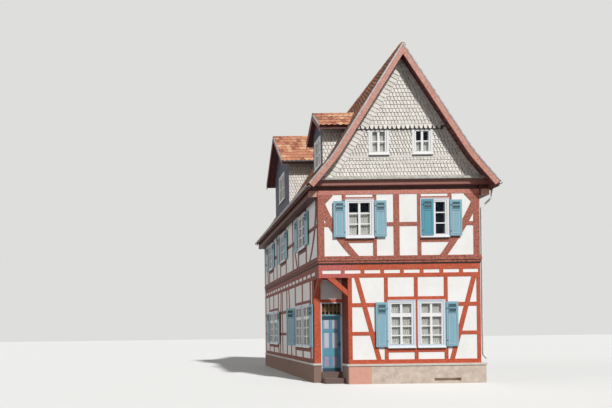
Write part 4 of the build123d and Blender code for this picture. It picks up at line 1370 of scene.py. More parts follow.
@dataclass
class SlateCourses:
    """Small slates, hung in courses with slanted sides and a nicked lower corner.

    `lap` is a slate's length in courses. Of the nicked corner, `nick` is two points as shares of
    the width and the length, and `nick_high` and `nick_back` are its top, as shares of the length
    and of the slant. `stagger` and `uneven` are how far slates differ along a course, and `bedding`
    is how far they stand off the wall, as a share of their thickness.
    """

    width: float = 0.125
    gauge: float = 0.145
    slant: float = -0.035
    thick: float = 0.008
    tail_lift: float = 0.02
    gap: float = 0.007
    lap: float = 1.28
    nick: tuple[Span, ...] = ((0.06, 0.14), (0.3, 0.0))
    nick_high: float = 0.34
    nick_back: float = 0.1
    tail_rise: float = 0.004
    stagger: float = 0.1
    uneven: Span = (0.97, 1.03)
    rise: float = 0.003
    bedding: float = 0.2
    smallest: float = 0.0006

    def shape(self, left: float, foot: float) -> Outline:
        """Draws one slate.

        Args:
            left: Its left edge along the wall.
            foot: The level of its course.

        Returns:
            Its outline.
        """
        width, height = self.width - self.gap, self.gauge * self.lap
        (side, side_up), (tail, tail_up) = self.nick
        return [
            (left + width * tail, foot + height * tail_up),
            (left + width, foot + self.tail_rise),
            (left + width + self.slant, foot + height),
            (left + self.slant, foot + height),
            (left - self.slant * self.nick_back, foot + height * self.nick_high),
            (left + width * side, foot + height * side_up),
        ]

    def hang(
        self,
        sketch: Sketch,
        wall: Wall,
        regions: list[Outline],
        holes: Iterable[Edges] = (),
        seed: str = "slates",
    ) -> None:
        """Hangs slates on convex regions of a wall.

        Args:
            sketch: Where they go.
            wall: The wall that carries them.
            regions: Convex outlines, counter-clockwise seen from outside.
            holes: Rectangles to leave free.
            seed: What the small differences between slates start from.
        """
        chance = random.Random(seed)
        for region in regions:
            left, right = min(p[0] for p in region), max(p[0] for p in region)
            low, high = min(p[1] for p in region), max(p[1] for p in region)
            row = math.floor(low / self.gauge)
            while row * self.gauge < high:
                aside = chance.uniform(-self.stagger, self.stagger)
                start = left - self.width * (1 + (row % 2) * 0.5 + aside)
                while start < right + self.width:
                    outline = clip_to(self.shape(start, row * self.gauge), region)
                    for hole in holes:
                        outline = clip_off(outline, hole) if len(outline) > 2 else []
                    if area(outline) > self.smallest:
                        self.place(sketch, wall, outline, row * self.gauge, chance.uniform(0, self.rise))
                    start += self.width * chance.uniform(*self.uneven)
                row += 1

    def place(self, sketch: Sketch, wall: Wall, outline: Outline, foot: float, rise: float) -> None:
        """Adds one slate, tilted so that its tail lies over the course below.

        Args:
            sketch: Where it goes.
            wall: The wall that carries it.
            outline: Its outline on the wall.
            foot: The level of its course.
            rise: How much farther than others it stands off.
        """
        points, off = [], rise + self.thick * self.bedding
        for run, level in outline:
            share = (level - foot) / (self.gauge * self.lap)
            points.append(wall.at(run, level, self.tail_lift * (1 - share) + off))
        sketch.prism(points, wall.outward * -self.thick)


@dataclass
class SlateWork:
    """The slates of both gables and the dormers.

    `plain_course` is the level band under the windows and `band_level` the edge of the projecting
    field above them, where `scallop` is a round-tailed slate's width, drop and height. Of the edge
    slates, `verge_reach` is how far they run in from each rake, `verge_fall` the way that they run,
    and `verge_lifts` how far each corner stands off the wall.
    """

    line: RoofLine
    courses: SlateCourses = field(default_factory=SlateCourses)
    upright: SlateCourses = field(default_factory=lambda: SlateCourses(width=0.115, gauge=0.15, slant=-0.06))
    plain_course: Span = (8.35, 8.445)
    plain_thick: float = 0.02
    narrowest: float = 0.001
    foot_clear: float = 0.005
    edge_clear: float = 0.012
    apex_clear: float = 0.05
    break_level: float = 8.2
    band_level: float = 9.475
    band_out: float = 0.04
    band_rise: float = 0.04
    band_lap: float = 0.05
    scallop: tuple[float, float, float] = (0.165, 0.085, 0.1)
    scallop_clear: float = 0.1
    scallop_waist: float = 0.36
    scallop_gap: float = 0.02
    scallop_out: float = 0.022
    scallop_lean: float = 0.1
    scallop_thick: float = 0.008
    recess_shade_out: float = 0.004
    recess_shade_thick: float = 0.03
    verge_step: float = 0.135
    verge_joint: float = 0.024
    verge_inset: float = 0.02
    verge_ends: Span = (0.6, 0.35)
    verge_reach: Span = (0.42, 0.12)
    verge_fall: tuple[Span, Span] = ((0.86, -0.5), (-1.0, -0.2))
    verge_lifts: Edges = (0.022, 0.032, 0.026, 0.020)
    verge_thick: float = 0.006

    def build(self) -> None:
        """Clads every slate wall."""
        self.front_gable()
        self.rear_gable()
        for dormer in DORMERS:
            self.dormer(dormer)

    def field_between(self, low: float, high: float, limit: float) -> Outline:
        """Finds the part of a gable between two levels.

        Args:
            low: The lower level.
            high: The upper level.
            limit: The most that it may reach to either side.

        Returns:
            Its outline.
        """
        bottom = min(self.line.half_width(low), limit) - self.edge_clear
        top = max(min(self.line.half_width(high), limit) - self.edge_clear, self.narrowest)
        return [(-bottom, low), (bottom, low), (top, high), (-top, high)]

    def front_gable(self) -> None:
        """Courses up to the windows' heads, and the projecting field above with its scalloped edge."""
        low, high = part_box("front_gable_wall")
        frames = [solid for solid in solids("attic_window_frames") if solid.low.y < 0]
        holes = [(frame.low.x, frame.low.z, frame.high.x, frame.high.z) for frame in frames]
        face, band = Wall.facing(Side.FRONT, y=low.y + self.band_out), Wall.facing(Side.FRONT, y=low.y)
        levels = (low.z + self.foot_clear, self.break_level, *self.plain_course, self.band_level)
        lowest, lower, plain, upper = (self.field_between(a, b, high.x) for a, b in zip(levels, levels[1:]))
        sketch = Sketch()
        self.courses.hang(sketch, face, [lowest, lower], holes, "front")
        self.upright.hang(sketch, face, [upper], holes, "upright")
        sketch.prism([face.at(*p, self.courses.tail_lift) for p in plain], face.outward * -self.plain_thick)
        foot, apex = self.band_level + self.band_rise, self.line.peak - self.apex_clear
        self.courses.hang(sketch, band, [self.field_between(foot, apex, high.x)], (), "band")
        self.scallops(sketch, band)
        self.verge_slates(sketch, face, band)
        sketch.piece("front_gable_slates", PALE_SLATE, "slate")

    def scallops(self, sketch: Sketch, wall: Wall) -> None:
        """Hangs round-tailed slates along the projecting edge, over a strip of dark slate that paints the
        shade in the recess behind them.

        Args:
            sketch: Where the slates go.
            wall: The plane of the projecting field.
        """
        width, drop, height = self.scallop
        edge, reach = self.band_level, self.line.half_width(self.band_level) - self.scallop_clear
        # Painted shade: a strip of dark slate behind the scallops darkens the recess as if in shadow
        shade = Sketch()
        shade.slab(wall, (-reach, edge - drop, reach, edge), self.recess_shade_out, self.recess_shade_thick)
        shade.piece("front_gable_recess", SLATE_BACKING_AND_SHADE, "slate")
        for i in range(int(2 * reach / width)):
            left = -reach + i * width
            outline = [
                (left + width * (0.5 - self.scallop_waist * c), edge - drop * s) for c, s in arc(0, 181, 30)
            ]
            outline += [(left + width * (1 - self.scallop_gap), edge + height), (left, edge + height)]
            points = [
                wall.at(run, level, self.scallop_out - self.scallop_lean * (level - edge))
                for run, level in outline
            ]
            sketch.prism(points, wall.outward * -self.scallop_thick)

    def verge_slates(self, sketch: Sketch, face: Wall, band: Wall) -> None:
        """Lays long edge slates across the courses along both rakes.

        Args:
            sketch: Where they go.
            face: The gable's plane.
            band: The plane of the projecting field.
        """
        step, (above_foot, below_peak) = self.verge_step, self.verge_ends
        for side, length, (fall_x, fall_z) in zip((-1, 1), self.verge_reach, self.verge_fall):
            down, level = Vector((fall_x, fall_z)) * length, self.line.foot + above_foot
            while level < self.line.peak - below_peak:
                wall = band if level > self.band_level + self.band_lap else face
                levels = (level, level + step)
                edge, above = (side * (self.line.half_width(z) - self.verge_inset) for z in levels)
                head = level + step - self.verge_joint
                corners = [(edge, level), (edge + down.x, level + down.y)]
                corners += [(above + down.x, head + down.y), (above, head)]
                if side > 0:
                    corners = [corners[i] for i in (1, 0, 3, 2)]
                points = [wall.at(*corner, lift) for corner, lift in zip(corners, self.verge_lifts)]
                sketch.prism(points, wall.outward * -self.verge_thick)
                level += step

    def rear_gable(self) -> None:
        """Courses over the whole rear gable."""
        low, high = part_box("rear_gable_wall")
        levels = (low.z + self.foot_clear, self.break_level, self.line.peak - self.apex_clear)
        regions = [self.field_between(a, b, high.x) for a, b in zip(levels, levels[1:])]
        sketch = Sketch()
        self.courses.hang(sketch, Wall.facing(Side.BACK, y=high.y), regions, (), "rear")
        sketch.piece("rear_gable_slates", PALE_SLATE, "slate")

    def dormer(self, dormer: Dormer) -> None:
        """Hangs slates on a dormer's front and cheeks.

        Args:
            dormer: The dormer.
        """
        foot, half, top = self.line.height(dormer.face), dormer.wall_half, dormer.wall_top
        sketch = Sketch()
        gable = [(-half, foot), (half, foot), (half, top), (0.0, dormer.peak), (-half, top)]
        front = Wall.facing(Side.LEFT, dormer.face, dormer.middle)
        self.courses.hang(sketch, front, [gable], [dormer.hole()], dormer.name)
        sketch.piece(dormer.name + "_dormer_front_slates", DARK_SLATE, "slate")
        sketch = Sketch()
        inner = [(-p.x, p.z) for p in self.line.top if foot < p.z < top]
        near = [(dormer.face, foot), *inner, (-self.line.reach(top), top), (dormer.face, top)]
        far = [(-run, level) for run, level in reversed(near)]
        for side, sign, region in ((Side.FRONT, -1, near), (Side.BACK, 1, far)):
            wall = Wall.facing(side, y=dormer.middle + sign * half)
            self.courses.hang(sketch, wall, [region], (), f"{dormer.name}{sign}")
        sketch.piece(dormer.name + "_dormer_cheek_slates", PALE_SLATE, "slate")


# Carcass and timber


GROUND_BLEACHED = oak("ground_bleached", GROUND_RED, Grain.LEVEL, contrast=0.5, bleached=BLEACHED_RED)
COATS: tuple[tuple[Finish, str], ...] = (
    (BASE_STONE, "plinth"),
    (COPING_STONE, "plinth_coping"),
    (STEP_STONE, "doorstep"),
    (FLOOR_BOARDS, "ground_floor upper_floor"),
    (ATTIC_EDGE_SHADE, "attic_floor"),
    (oak("ground_level", GROUND_RED, Grain.LEVEL, contrast=0.5), "ground_sill ground_rails"),
    (oak("ground_upright", GROUND_RED, Grain.UPRIGHT, contrast=0.5), "ground_posts"),
    (oak("ground_leaning", GROUND_RED, Grain.LEANING, 0.27, contrast=0.5), "ground_braces"),
    (GROUND_BLEACHED, "ground_plate floor_joists rim_beam"),
    (oak("ground_bracket", GROUND_RED, Grain.LEANING, 0.9, contrast=0.5), "corner_brackets"),
    (oak("upper_level", UPPER_RED, Grain.LEVEL), "upper_sill upper_rails"),
    (oak("upper_upright", UPPER_RED, Grain.UPRIGHT), "upper_posts"),
    (oak("upper_leaning", UPPER_RED, Grain.LEANING, 0.6), "upper_braces"),
    (oak("upper_plate", UPPER_PINK, Grain.LEVEL, contrast=0.6), "upper_plate"),
    (oak("barge", BARGE_SALMON, Grain.LEANING, 0.66, 0.6), "barge_board_left barge_board_right"),
    (FRIEZE_BROWN, "gable_frieze"),
    (EAVES_BROWN, "eaves_beams"),
    (SALMON, "beam_ends"),
    (VERGE_BROWN, "dormer_barge_boards"),
    (PLASTER, "ground_front_infill ground_side_infill joist_infill"),
    (PLASTER, "upper_front_infill upper_side_infill rear_wall"),
    (SLATE_BACKING_AND_SHADE, "front_gable_wall rear_gable_wall dormer_walls"),
    (SOFFIT, "roof_left roof_right dormer_roofs"),
    (CLAY, "ridge_tiles"),
    (OLD_ZINC, "gable_flashing gutters"),
    (BRIGHT_ZINC, "downpipe"),
    (WHITE_PAINT, "ground_window_frames upper_window_frames attic_window_frames"),
    (GLASS, "window_glass"),
    (TURQUOISE, "ground_shutters upper_shutters"),
    (BLUE_WHITE, "door_frame"),
    (DOOR_TEAL, "door_leaf"),
    (IRON, "door_handle door_hinges"),
)


@dataclass
class Carcass:
    """The CAD nodes that stay, each with its finish."""

    finishes: dict[str, Finish] = field(
        default_factory=lambda: {node: finish for finish, nodes in COATS for node in nodes.split()}
    )

    def dress(self) -> None:
        """Gives every CAD node its finish."""
        for name, node in sorted(NODES.items()):
            finish = self.finishes[name]
            for slot in node.material_slots:
                slot.material = finish.material()
            LOG.info("node %s: %s", name, finish.name)


@dataclass
class TimberMarks:
    """Black strips that paint the shadow lines along the storeys' beams, and the ends of the oak pegs
    in the ground floor's frame.

    `joint` is the lowest and highest level of the black strip that paints the shadow in the joint
    between the storeys, and each of `steps` the level of a thin painted shadow line at a step of
    the upper sill and how far it stands out.
    """

    joint: Span = (4.448, 4.502)
    shadow_line_out: float = 0.012
    shadow_line_thick: float = 0.02
    steps: tuple[Span, ...] = ((4.5785, 0.0285), (4.6745, 0.0195))
    step_shadow_high: float = 0.009
    step_shadow_thick: float = 0.004
    post_front: float = 0.05
    post_least: float = 1.0
    post_widest: float = 0.6
    peg_radius: float = 0.016
    peg_inset: float = 0.075
    peg_aside: float = 0.035
    peg_out: float = 0.003

    def build(self) -> None:
        """Adds the painted shadow lines and the pegs."""
        low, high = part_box("rim_beam")
        # Painted shadow: black strips where the joint between the storeys and the upper sill's steps lie in
        # shade
        joints = Sketch()
        for wall, left, right in (
            (Wall.facing(Side.FRONT, y=low.y), low.x, high.x),
            (Wall.facing(Side.LEFT, low.x), -high.y, -low.y),
            (Wall.facing(Side.RIGHT, high.x), low.y, high.y),
        ):
            joints.slab(wall, (left, self.joint[0], right, self.joint[1]), self.shadow_line_out, self.shadow_line_thick)
            for level, out in self.steps:
                joints.slab(wall, (left, level, right, level + self.step_shadow_high), out, self.step_shadow_thick)
        joints.piece("storey_joints", SHADOW_BLACK, "red_timber")
        pegs = Sketch()
        for post in solids("ground_posts"):
            size = post.high - post.low
            if post.low.y < self.post_front and size.z > self.post_least and size.x < self.post_widest:
                self.pegs(pegs, post)
        pegs.piece("ground_post_pegs", PEG, "red_timber")

    def pegs(self, sketch: Sketch, post: Solid) -> None:
        """Adds two peg ends at the head and two at the foot of a front post.

        Args:
            sketch: Where they go.
            post: The post.
        """
        middle, face = (post.low.x + post.high.x) / 2, Wall.facing(Side.FRONT, y=post.low.y)
        for level in (post.low.z + self.peg_inset, post.high.z - self.peg_inset):
            for run in (middle - self.peg_aside, middle + self.peg_aside):
                rim = [(run + self.peg_radius * c, level + self.peg_radius * s) for c, s in arc(0, 360, 45)]
                sketch.prism([face.at(*p, self.peg_out) for p in rim], face.outward * -self.peg_out)


# Windows and doors


class Storey(Enum):
    """The storey that a window belongs to."""

    GROUND = "ground"
    UPPER = "upper"
    ATTIC = "attic"


@dataclass
class Opening:
    """A window frame's place on its wall, and its edges there as left, low, right and high."""

    wall: Wall
    edges: Edges

    @classmethod
    def measure(cls, solid: Solid, proud: float) -> Opening:
        """Reads an opening off a solid of the frames or the glass.

        Args:
            solid: The solid.
            proud: How far its front stands out of the plane to measure on.

        Returns:
            The opening.
        """
        low, high = solid.low, solid.high
        size = high - low
        if size.y < size.x:
            wall = Wall.facing(Side.FRONT, y=low.y + proud)
        elif low.x < 0:
            wall = Wall.facing(Side.LEFT, low.x + proud)
        else:
            wall = Wall.facing(Side.RIGHT, high.x - proud)
        runs = sorted((low.dot(wall.along), high.dot(wall.along)))
        return cls(wall, (runs[0], low.z, runs[1], high.z))

    @property
    def storey(self) -> Storey:
        """The storey, by the level of the opening's foot."""
        foot = self.edges[1]
        return Storey.ATTIC if foot > ATTIC_FROM else Storey.UPPER if foot > UPPER_FROM else Storey.GROUND


@dataclass
class WindowTrim:
    """Casing boards, grey strips that paint the shade round the sash and under the sill, and a drip
    board, planted on each window frame.

    `drip` is how far the drip board stands out and how high it is.
    """

    sill_out: float = 0.06
    sill_high: float = 0.045
    frame_out: float = 0.018
    casing: float = 0.088
    board: float = 0.008
    gap: float = 0.01
    gap_shade_thick: float = 0.0015
    drip: Span = (0.036, 0.024)
    under_sill_shade: float = 0.022
    under_sill_back: float = 0.008
    finishes: dict[Storey, Finish] = field(default_factory=lambda: {
        Storey.GROUND: BLUE_WHITE, Storey.UPPER: LILAC_WHITE, Storey.ATTIC: GREY_WHITE,
    })

    def build(self) -> None:
        """Trims every window."""
        for storey, finish in self.finishes.items():
            boards, shade_strips = Sketch(), Sketch()
            for solid in solids(storey.value + "_window_frames"):
                self.trim(boards, shade_strips, Opening.measure(solid, self.sill_out))
            boards.piece(storey.value + "_window_casings", finish, "white_paint")
            shade_strips.piece(storey.value + "_window_gaps", REBATE_SHADE_GREY, "white_paint")

    def trim(self, boards: Sketch, shade_strips: Sketch, opening: Opening) -> None:
        """Adds one window's boards.

        Args:
            boards: Where the casing boards go.
            shade_strips: Where the grey strips that paint the shade in the gap round the sash and under the
                sill go.
            opening: The window frame's place.
        """
        wall, (left, low, right, high) = opening.wall, opening.edges
        edges = (left, low + self.sill_high, right, high)
        out, casing, back = self.frame_out + self.board, self.casing, self.under_sill_back
        boards.ring(wall, edges, casing, out, self.board)
        inner = (left + casing, edges[1] + casing, right - casing, high - casing)
        # Painted shade: grey strips in the gap round the sash and, below, under the sill
        shade_strips.ring(wall, inner, self.gap, self.frame_out + self.gap_shade_thick, self.gap_shade_thick)
        under = (left, low - self.under_sill_shade, right, low)
        shade_strips.slab(wall, under, self.sill_out - back, self.sill_out - 2 * back)
        drip_out, drip_high = self.drip
        boards.slab(wall, (left, high - drip_high, right, high), drip_out, drip_out - out)


@dataclass
class Curtains:
    """Net curtains, gathered on a rod behind the panes.

    A pair hangs part-width at the upper left window, with slanted inner edges: the cloth keeps its
    flat width in every row, and its folds are deeper where it is drawn narrower. `pair_widths` is
    its width at foot and head and `pair_share` its height, as shares of the pane.
    """

    back: float = 0.045
    wave: float = 0.014
    pitch: float = 0.075
    steps_a_wave: int = 8
    rows: int = 8
    side_gap: float = 0.004
    pair_widths: Span = (0.40, 0.46)
    pair_share: float = 0.72
    half_share: float = 0.5
    recess_from: float = 0.3
    deepest_fold: float = 0.2
    halvings: int = 40
    smooth_deg: float = 80.0

    def build(self) -> None:
        """Hangs the curtains of every window that has them."""
        for index, pane in enumerate(solids("window_glass")):
            opening = Opening.measure(pane, 0.0)
            left, _, right, _ = opening.edges
            start, end = left + self.side_gap, right - self.side_gap
            width, storey = right - left - 2 * self.side_gap, opening.storey
            front = opening.wall.outward.y < 0
            name = f"net_curtain_{index:02d}"
            if front and (pane.low.y > self.recess_from or (storey is Storey.UPPER and left > 0)):
                continue
            if front and storey is Storey.UPPER:
                widths = (self.pair_widths[0] * width, self.pair_widths[1] * width)
                self.hang(name + "a", opening, start, widths, self.pair_share, False)
                self.hang(name + "b", opening, end, widths, self.pair_share, True)
            else:
                share = self.half_share if front and storey is Storey.ATTIC and left > 0 else 1.0
                self.hang(name, opening, start, (width, width), share, False)

    def fold_line(self, width: float, waves: int, depth: float) -> Outline:
        """A row of folds.

        Args:
            width: How wide it hangs.
            waves: How many folds it has.
            depth: How deep each fold is to either side.

        Returns:
            The row's points, along and across.
        """
        steps = self.steps_a_wave
        count = waves * steps
        return [(width * i / count, depth * math.sin(2 * math.pi * i / steps)) for i in range(count + 1)]

    @staticmethod
    def length(line: Outline) -> float:
        """The length of a row."""
        return sum(math.hypot(bx - ax, by - ay) for (ax, ay), (bx, by) in zip(line, line[1:]))

    def depth_for(self, flat: float, width: float, waves: int) -> float:
        """Finds how deep the folds are where the cloth is drawn together.

        Args:
            flat: The cloth's flat width.
            width: How wide the row hangs.
            waves: How many folds it has.

        Returns:
            The depth at which the row takes up the whole cloth.
        """
        low, high = 0.0, self.deepest_fold
        for _ in range(self.halvings):
            middle = (low + high) / 2
            if self.length(self.fold_line(width, waves, middle)) < flat:
                low = middle
            else:
                high = middle
        return low

    def hang(
        self, name: str, opening: Opening, start: float, widths: Span, share: float, mirrored: bool
    ) -> None:
        """Makes one curtain.

        Args:
            name: The piece's name.
            opening: The pane that it hangs behind.
            start: Where its outer edge is along the wall.
            widths: Its width at the foot and at the head.
            share: How much of the pane's height it covers, from the foot up.
            mirrored: Whether its outer edge is the right one.
        """
        wall, (_, low, _, high) = opening.wall, opening.edges
        height, widest = (high - low) * share, max(widths)
        waves = max(2, round(widest / self.pitch))
        flat = self.length(self.fold_line(widest, waves, self.wave))
        points: list[Vector] = []
        for row in range(self.rows + 1):
            part = row / self.rows
            width = widths[0] + (widths[1] - widths[0]) * part
            for run, fold in self.fold_line(width, waves, self.depth_for(flat, width, waves)):
                place = start - run if mirrored else start + run
                points.append(wall.at(place, low + height * part, -self.back - fold))
        count = waves * self.steps_a_wave + 1
        faces = [
            (row * count + i, row * count + i + 1, (row + 1) * count + i + 1, (row + 1) * count + i)
            for row in range(self.rows) for i in range(count - 1)
        ]
        sketch = Sketch()
        sketch.solid(points, faces)
        piece = sketch.piece(name, NET, "white_paint", smooth_deg=self.smooth_deg)


# How a shutter's solid is read: the band of its foot's corners, the least width and the width's
# slack, the part of the plan that is the front, how far it may stand over its pane, and how near
# to its pane's middle a closed leaf is.
FOOT_BAND = 0.002
LEAST_WIDTH = 0.4
SAME_WIDTH = 0.003
FRONT_DEPTH = 0.2
FRONT_HALF = 3.0
OVER_PANE = 0.5
CLOSED_WITHIN = 0.45


@dataclass
class Leaf:
    """A shutter's place: the plane of its face and its left and right edges seen from outside."""

    wall: Wall
    width: float
    height: float
    hinged_left: bool
    closed: bool

    @classmethod
    def measure(cls, solid: Solid) -> Leaf:
        """Reads the leaf's place off the corners of its foot, and its hinge side off the nearest pane.

        Args:
            solid: The leaf's solid.

        Returns:
            The leaf.
        """
        low, high, up = solid.low, solid.high, Vector((0, 0, 1))
        foot = [p for p in solid.points if p.z < low.z + FOOT_BAND]
        pairs = [(a, b) for a in foot for b in foot if (b - a).length > LEAST_WIDTH]
        shortest = min((b - a).length for a, b in pairs)
        front = low.y < FRONT_DEPTH and abs(low.x + high.x) / 2 < FRONT_HALF
        away = Vector((0, -1, 0)) if front else Vector((1 if low.x > 0 else -1, 0, 0))
        sides = [(a, b) for a, b in pairs if abs((b - a).length - shortest) < SAME_WIDTH]
        first, second = max(sides, key=lambda pair: (pair[0] + pair[1]).dot(away))
        if (second - first).cross(up).dot(away) < 0:
            first, second = second, first
        along, centre = (second - first).normalized(), (first + second) / 2
        glass = [pane for pane in solids("window_glass") if pane.low.z < high.z < pane.high.z + OVER_PANE]
        middles = [(pane.low + pane.high) / 2 for pane in glass]
        pane = min(middles, key=lambda middle: (middle.xy - centre.xy).length)
        closed = (pane.xy - centre.xy).length < CLOSED_WITHIN
        near_left = (pane.xy - first.xy).length < (pane.xy - second.xy).length
        wall = Wall(first, along, along.cross(up))
        return cls(wall, (second - first).length, high.z - low.z, near_left != closed, closed)


@dataclass
class ShutterTrim:
    """The painted line round each open shutter's panel, and every shutter's louvres and hinges' knuckles.

    `field_inset` is the line's distance from the leaf's edge, in stiles. `slat_rise` is how far
    each slat's edges lie over and under its middle, and `slat_lifts` how far the lower and the
    upper edge stand off the hollow.
    """

    stile: float = 0.07
    field_inset: float = 1.5
    louvre_share: float = 0.2
    line: float = 0.017
    line_out: float = -0.0015
    line_thick: float = 0.008
    hollow_out: float = 0.0095
    hollow_thick: float = 0.0025
    rim: float = 0.018
    rim_thick: float = 0.006
    rail: float = 0.04
    slat_pitch: float = 0.05
    slat_rise: float = 0.005
    slat_lifts: Span = (0.005, 0.0015)
    slat_thick: float = 0.0015
    knuckle: Span = (0.05, 0.03)
    knuckle_thick: float = 0.006
    knuckle_shares: Span = (0.12, 0.84)

    def build(self) -> None:
        """Trims every shutter."""
        for storey in (Storey.GROUND, Storey.UPPER):
            lines, knuckles, rims, slats, hollows = (Sketch() for _ in range(5))
            for solid in solids(storey.value + "_shutters"):
                leaf = Leaf.measure(solid)
                if not leaf.closed:
                    self.outline(lines, leaf)
                self.hinges(knuckles, leaf)
                self.louvres(rims, slats, hollows, leaf)
            for sketch, part, finish, slot in (
                (lines, "lines", LILAC, "shutter_paint"),
                (rims, "louvre_rims", TURQUOISE, "shutter_paint"),
                (slats, "louvre_slats", SHADED_TURQUOISE, "shutter_paint"),
                (hollows, "louvre_hollows", LOUVRE_DARK, "shutter_paint"),
                (knuckles, "knuckles", IRON, "iron"),
            ):
                sketch.piece(f"{storey.value}_shutter_{part}", finish, slot)

    def outline(self, sketch: Sketch, leaf: Leaf) -> None:
        """Adds four strips round the raised field.

        Args:
            sketch: Where they go.
            leaf: The shutter.
        """
        inset = self.stile * self.field_inset - self.line
        louvre_low = leaf.height * (1 - self.louvre_share) - self.stile
        edges = (inset, inset, leaf.width - inset, louvre_low - inset)
        sketch.ring(leaf.wall, edges, self.line, self.line_out, self.line_thick)

    def louvres(self, rims: Sketch, slats: Sketch, hollows: Sketch, leaf: Leaf) -> None:
        """A dark plate that paints the hollow's shade, with tilted slats drawn darker as painted shade, in a
        rimmed frame, split by a rail.

        Args:
            rims: Where the frame and the rail go.
            slats: Where the slats go.
            hollows: Where the dark plate that paints the hollow's shade goes.
            leaf: The shutter.
        """
        high = leaf.height - self.stile
        low = high - leaf.height * self.louvre_share
        left, right = self.stile, leaf.width - self.stile
        out, thick = self.hollow_out, self.rim_thick
        hollows.slab(leaf.wall, (left, low, right, high), out, self.hollow_thick)
        rims.ring(leaf.wall, (left, low, right, high), self.rim, out + thick, thick)
        under, over = (low + high - self.rail) / 2, (low + high + self.rail) / 2
        rims.slab(leaf.wall, (left, under, right, over), out + thick, thick)
        left, right, (out_low, out_high) = left + self.rim, right - self.rim, self.slat_lifts
        for foot, head in ((low + self.rim, under), (over, high - self.rim)):
            count = max(1, round((head - foot) / self.slat_pitch))
            for i in range(count):
                level = foot + (head - foot) / count * (i + 0.5)
                below, above = level - self.slat_rise, level + self.slat_rise
                corners = (
                    (left, below, out_low), (right, below, out_low),
                    (right, above, out_high), (left, above, out_high),
                )
                ring = [leaf.wall.at(run, z, out + lift) for run, z, lift in corners]
                slats.prism(ring, leaf.wall.outward * -self.slat_thick)

    def hinges(self, sketch: Sketch, leaf: Leaf) -> None:
        """Adds a short knuckle at the hinge edge for each strap.

        Args:
            sketch: Where they go.
            leaf: The shutter.
        """
        length, tall = self.knuckle
        left = 0.0 if leaf.hinged_left else leaf.width - length
        for share in self.knuckle_shares:
            level = leaf.height * share
            edges = (left, level, left + length, level + tall)
            sketch.slab(leaf.wall, edges, self.knuckle_thick, self.knuckle_thick)


@dataclass
class Doorway:
    """The door's fielded panels, a navy board that paints the shade at its foot, the transom board and the
    grille in the fanlight.

    `panels` is each panel's foot and head on the leaf, and `steps` how far in from its edge each
    ring of a panel lies and how far behind the leaf's face.
    """

    stile: float = 0.1
    muntin: float = 0.09
    panels: tuple[Span, ...] = ((0.15, 0.595), (0.88, 1.51), (1.625, 2.015))
    steps: tuple[Span, ...] = ((0.012, 0.015), (0.012, 0.010), (0.052, 0.002))
    foot_shade_high: float = 0.13
    board_out: float = 0.004
    foot_shade_clear: Span = (0.01, 0.005)
    jamb: float = 0.035
    grille_bar: float = 0.022
    grille_rings: tuple[int, int] = (5, 3)
    grille_out: float = 0.035
    transom: Span = (2.566, 2.614)
    recess_depth: Span = (0.3, 1.0)
    recess_left: float = -2.9

    def build(self) -> None:
        """Adds panels, the painted shade at the door's foot, transom board and grille."""
        low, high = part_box("door_leaf")
        frame_low, frame_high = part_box("door_frame")
        middle, half = (low.x + high.x) / 2, self.muntin / 2
        plum, lilac, foot_shade, transom = (Sketch() for _ in range(4))
        for left, right in ((low.x + self.stile, middle - half), (middle + half, high.x - self.stile)):
            for sketch, (foot, head) in zip((plum, lilac, lilac), self.panels):
                self.panel(sketch, (left, low.z + foot, right, low.z + head), low.y)
        # Painted shade: a navy board across the leaf's foot, for the shadow there
        aside, clear = self.foot_shade_clear
        edges = (low.x + aside, low.z + clear, high.x - aside, low.z + self.foot_shade_high)
        foot_shade.slab(Wall.facing(Side.FRONT, y=low.y), edges, self.board_out, self.board_out)
        edges = (frame_low.x + self.jamb, self.transom[0], frame_high.x - self.jamb, self.transom[1])
        transom.slab(Wall.facing(Side.FRONT, y=frame_low.y), edges, self.board_out, self.board_out)
        plum.piece("door_low_panels", PANEL_PLUM, "door_paint", FRONT_DOOR)
        lilac.piece("door_panels", PANEL_LILAC, "door_paint", FRONT_DOOR)
        foot_shade.piece("door_kick_board", DOOR_FOOT_SHADE_NAVY, "door_paint", FRONT_DOOR)
        transom.piece("door_transom_board", DOOR_TEAL, "door_paint")
        self.grille()

    def panel(self, sketch: Sketch, edges: Edges, face: float) -> None:
        """Adds one raised panel with sloping margins.

        Args:
            sketch: Where it goes.
            edges: Its place on the leaf.
            face: How far back the leaf's face is.
        """
        left, foot, right, head = edges
        rings = []
        for inset, depth in self.steps:
            west, south, east, north = left + inset, foot + inset, right - inset, head - inset
            corners = ((west, south), (west, north), (east, north), (east, south))
            rings.append([Vector((x, face + depth, z)) for x, z in corners])
        sketch.sweep(rings)

    def grille(self) -> None:
        """Rings between three bars, in front of the fanlight's glass."""
        nearest, farthest = self.recess_depth
        pane = next(
            pane for pane in solids("window_glass")
            if nearest < pane.low.y and pane.high.y < farthest and pane.low.x > self.recess_left
        )
        low, high = pane.low, pane.high
        bar, (columns, rows) = self.grille_bar, self.grille_rings
        depth = low.y - self.grille_out
        pitch, rise = (high.x - low.x) / columns, (high.z - low.z) / rows
        radius = min(pitch, rise) / 2 - bar * 0.5
        section = ((radius, 0), (radius + bar, 0), (radius + bar, bar), (radius, bar))
        sketch = Sketch()
        for column in range(columns):
            for row in range(rows):
                x, z = low.x + pitch * (column + 0.5), low.z + rise * (row + 0.5)
                sketch.sweep([
                    [Vector((x + c * r, depth + back, z + s * r)) for r, back in section]
                    for c, s in arc(0, 361, 30)
                ])
        front = Wall.facing(Side.FRONT, y=depth)
        for level in (low.z, (low.z + high.z - bar) / 2, high.z - bar):
            sketch.slab(front, (low.x, level, high.x, level + bar), 0.0, bar)
        sketch.piece("fanlight_grille", BRASS_BROWN, "iron")


# Stage


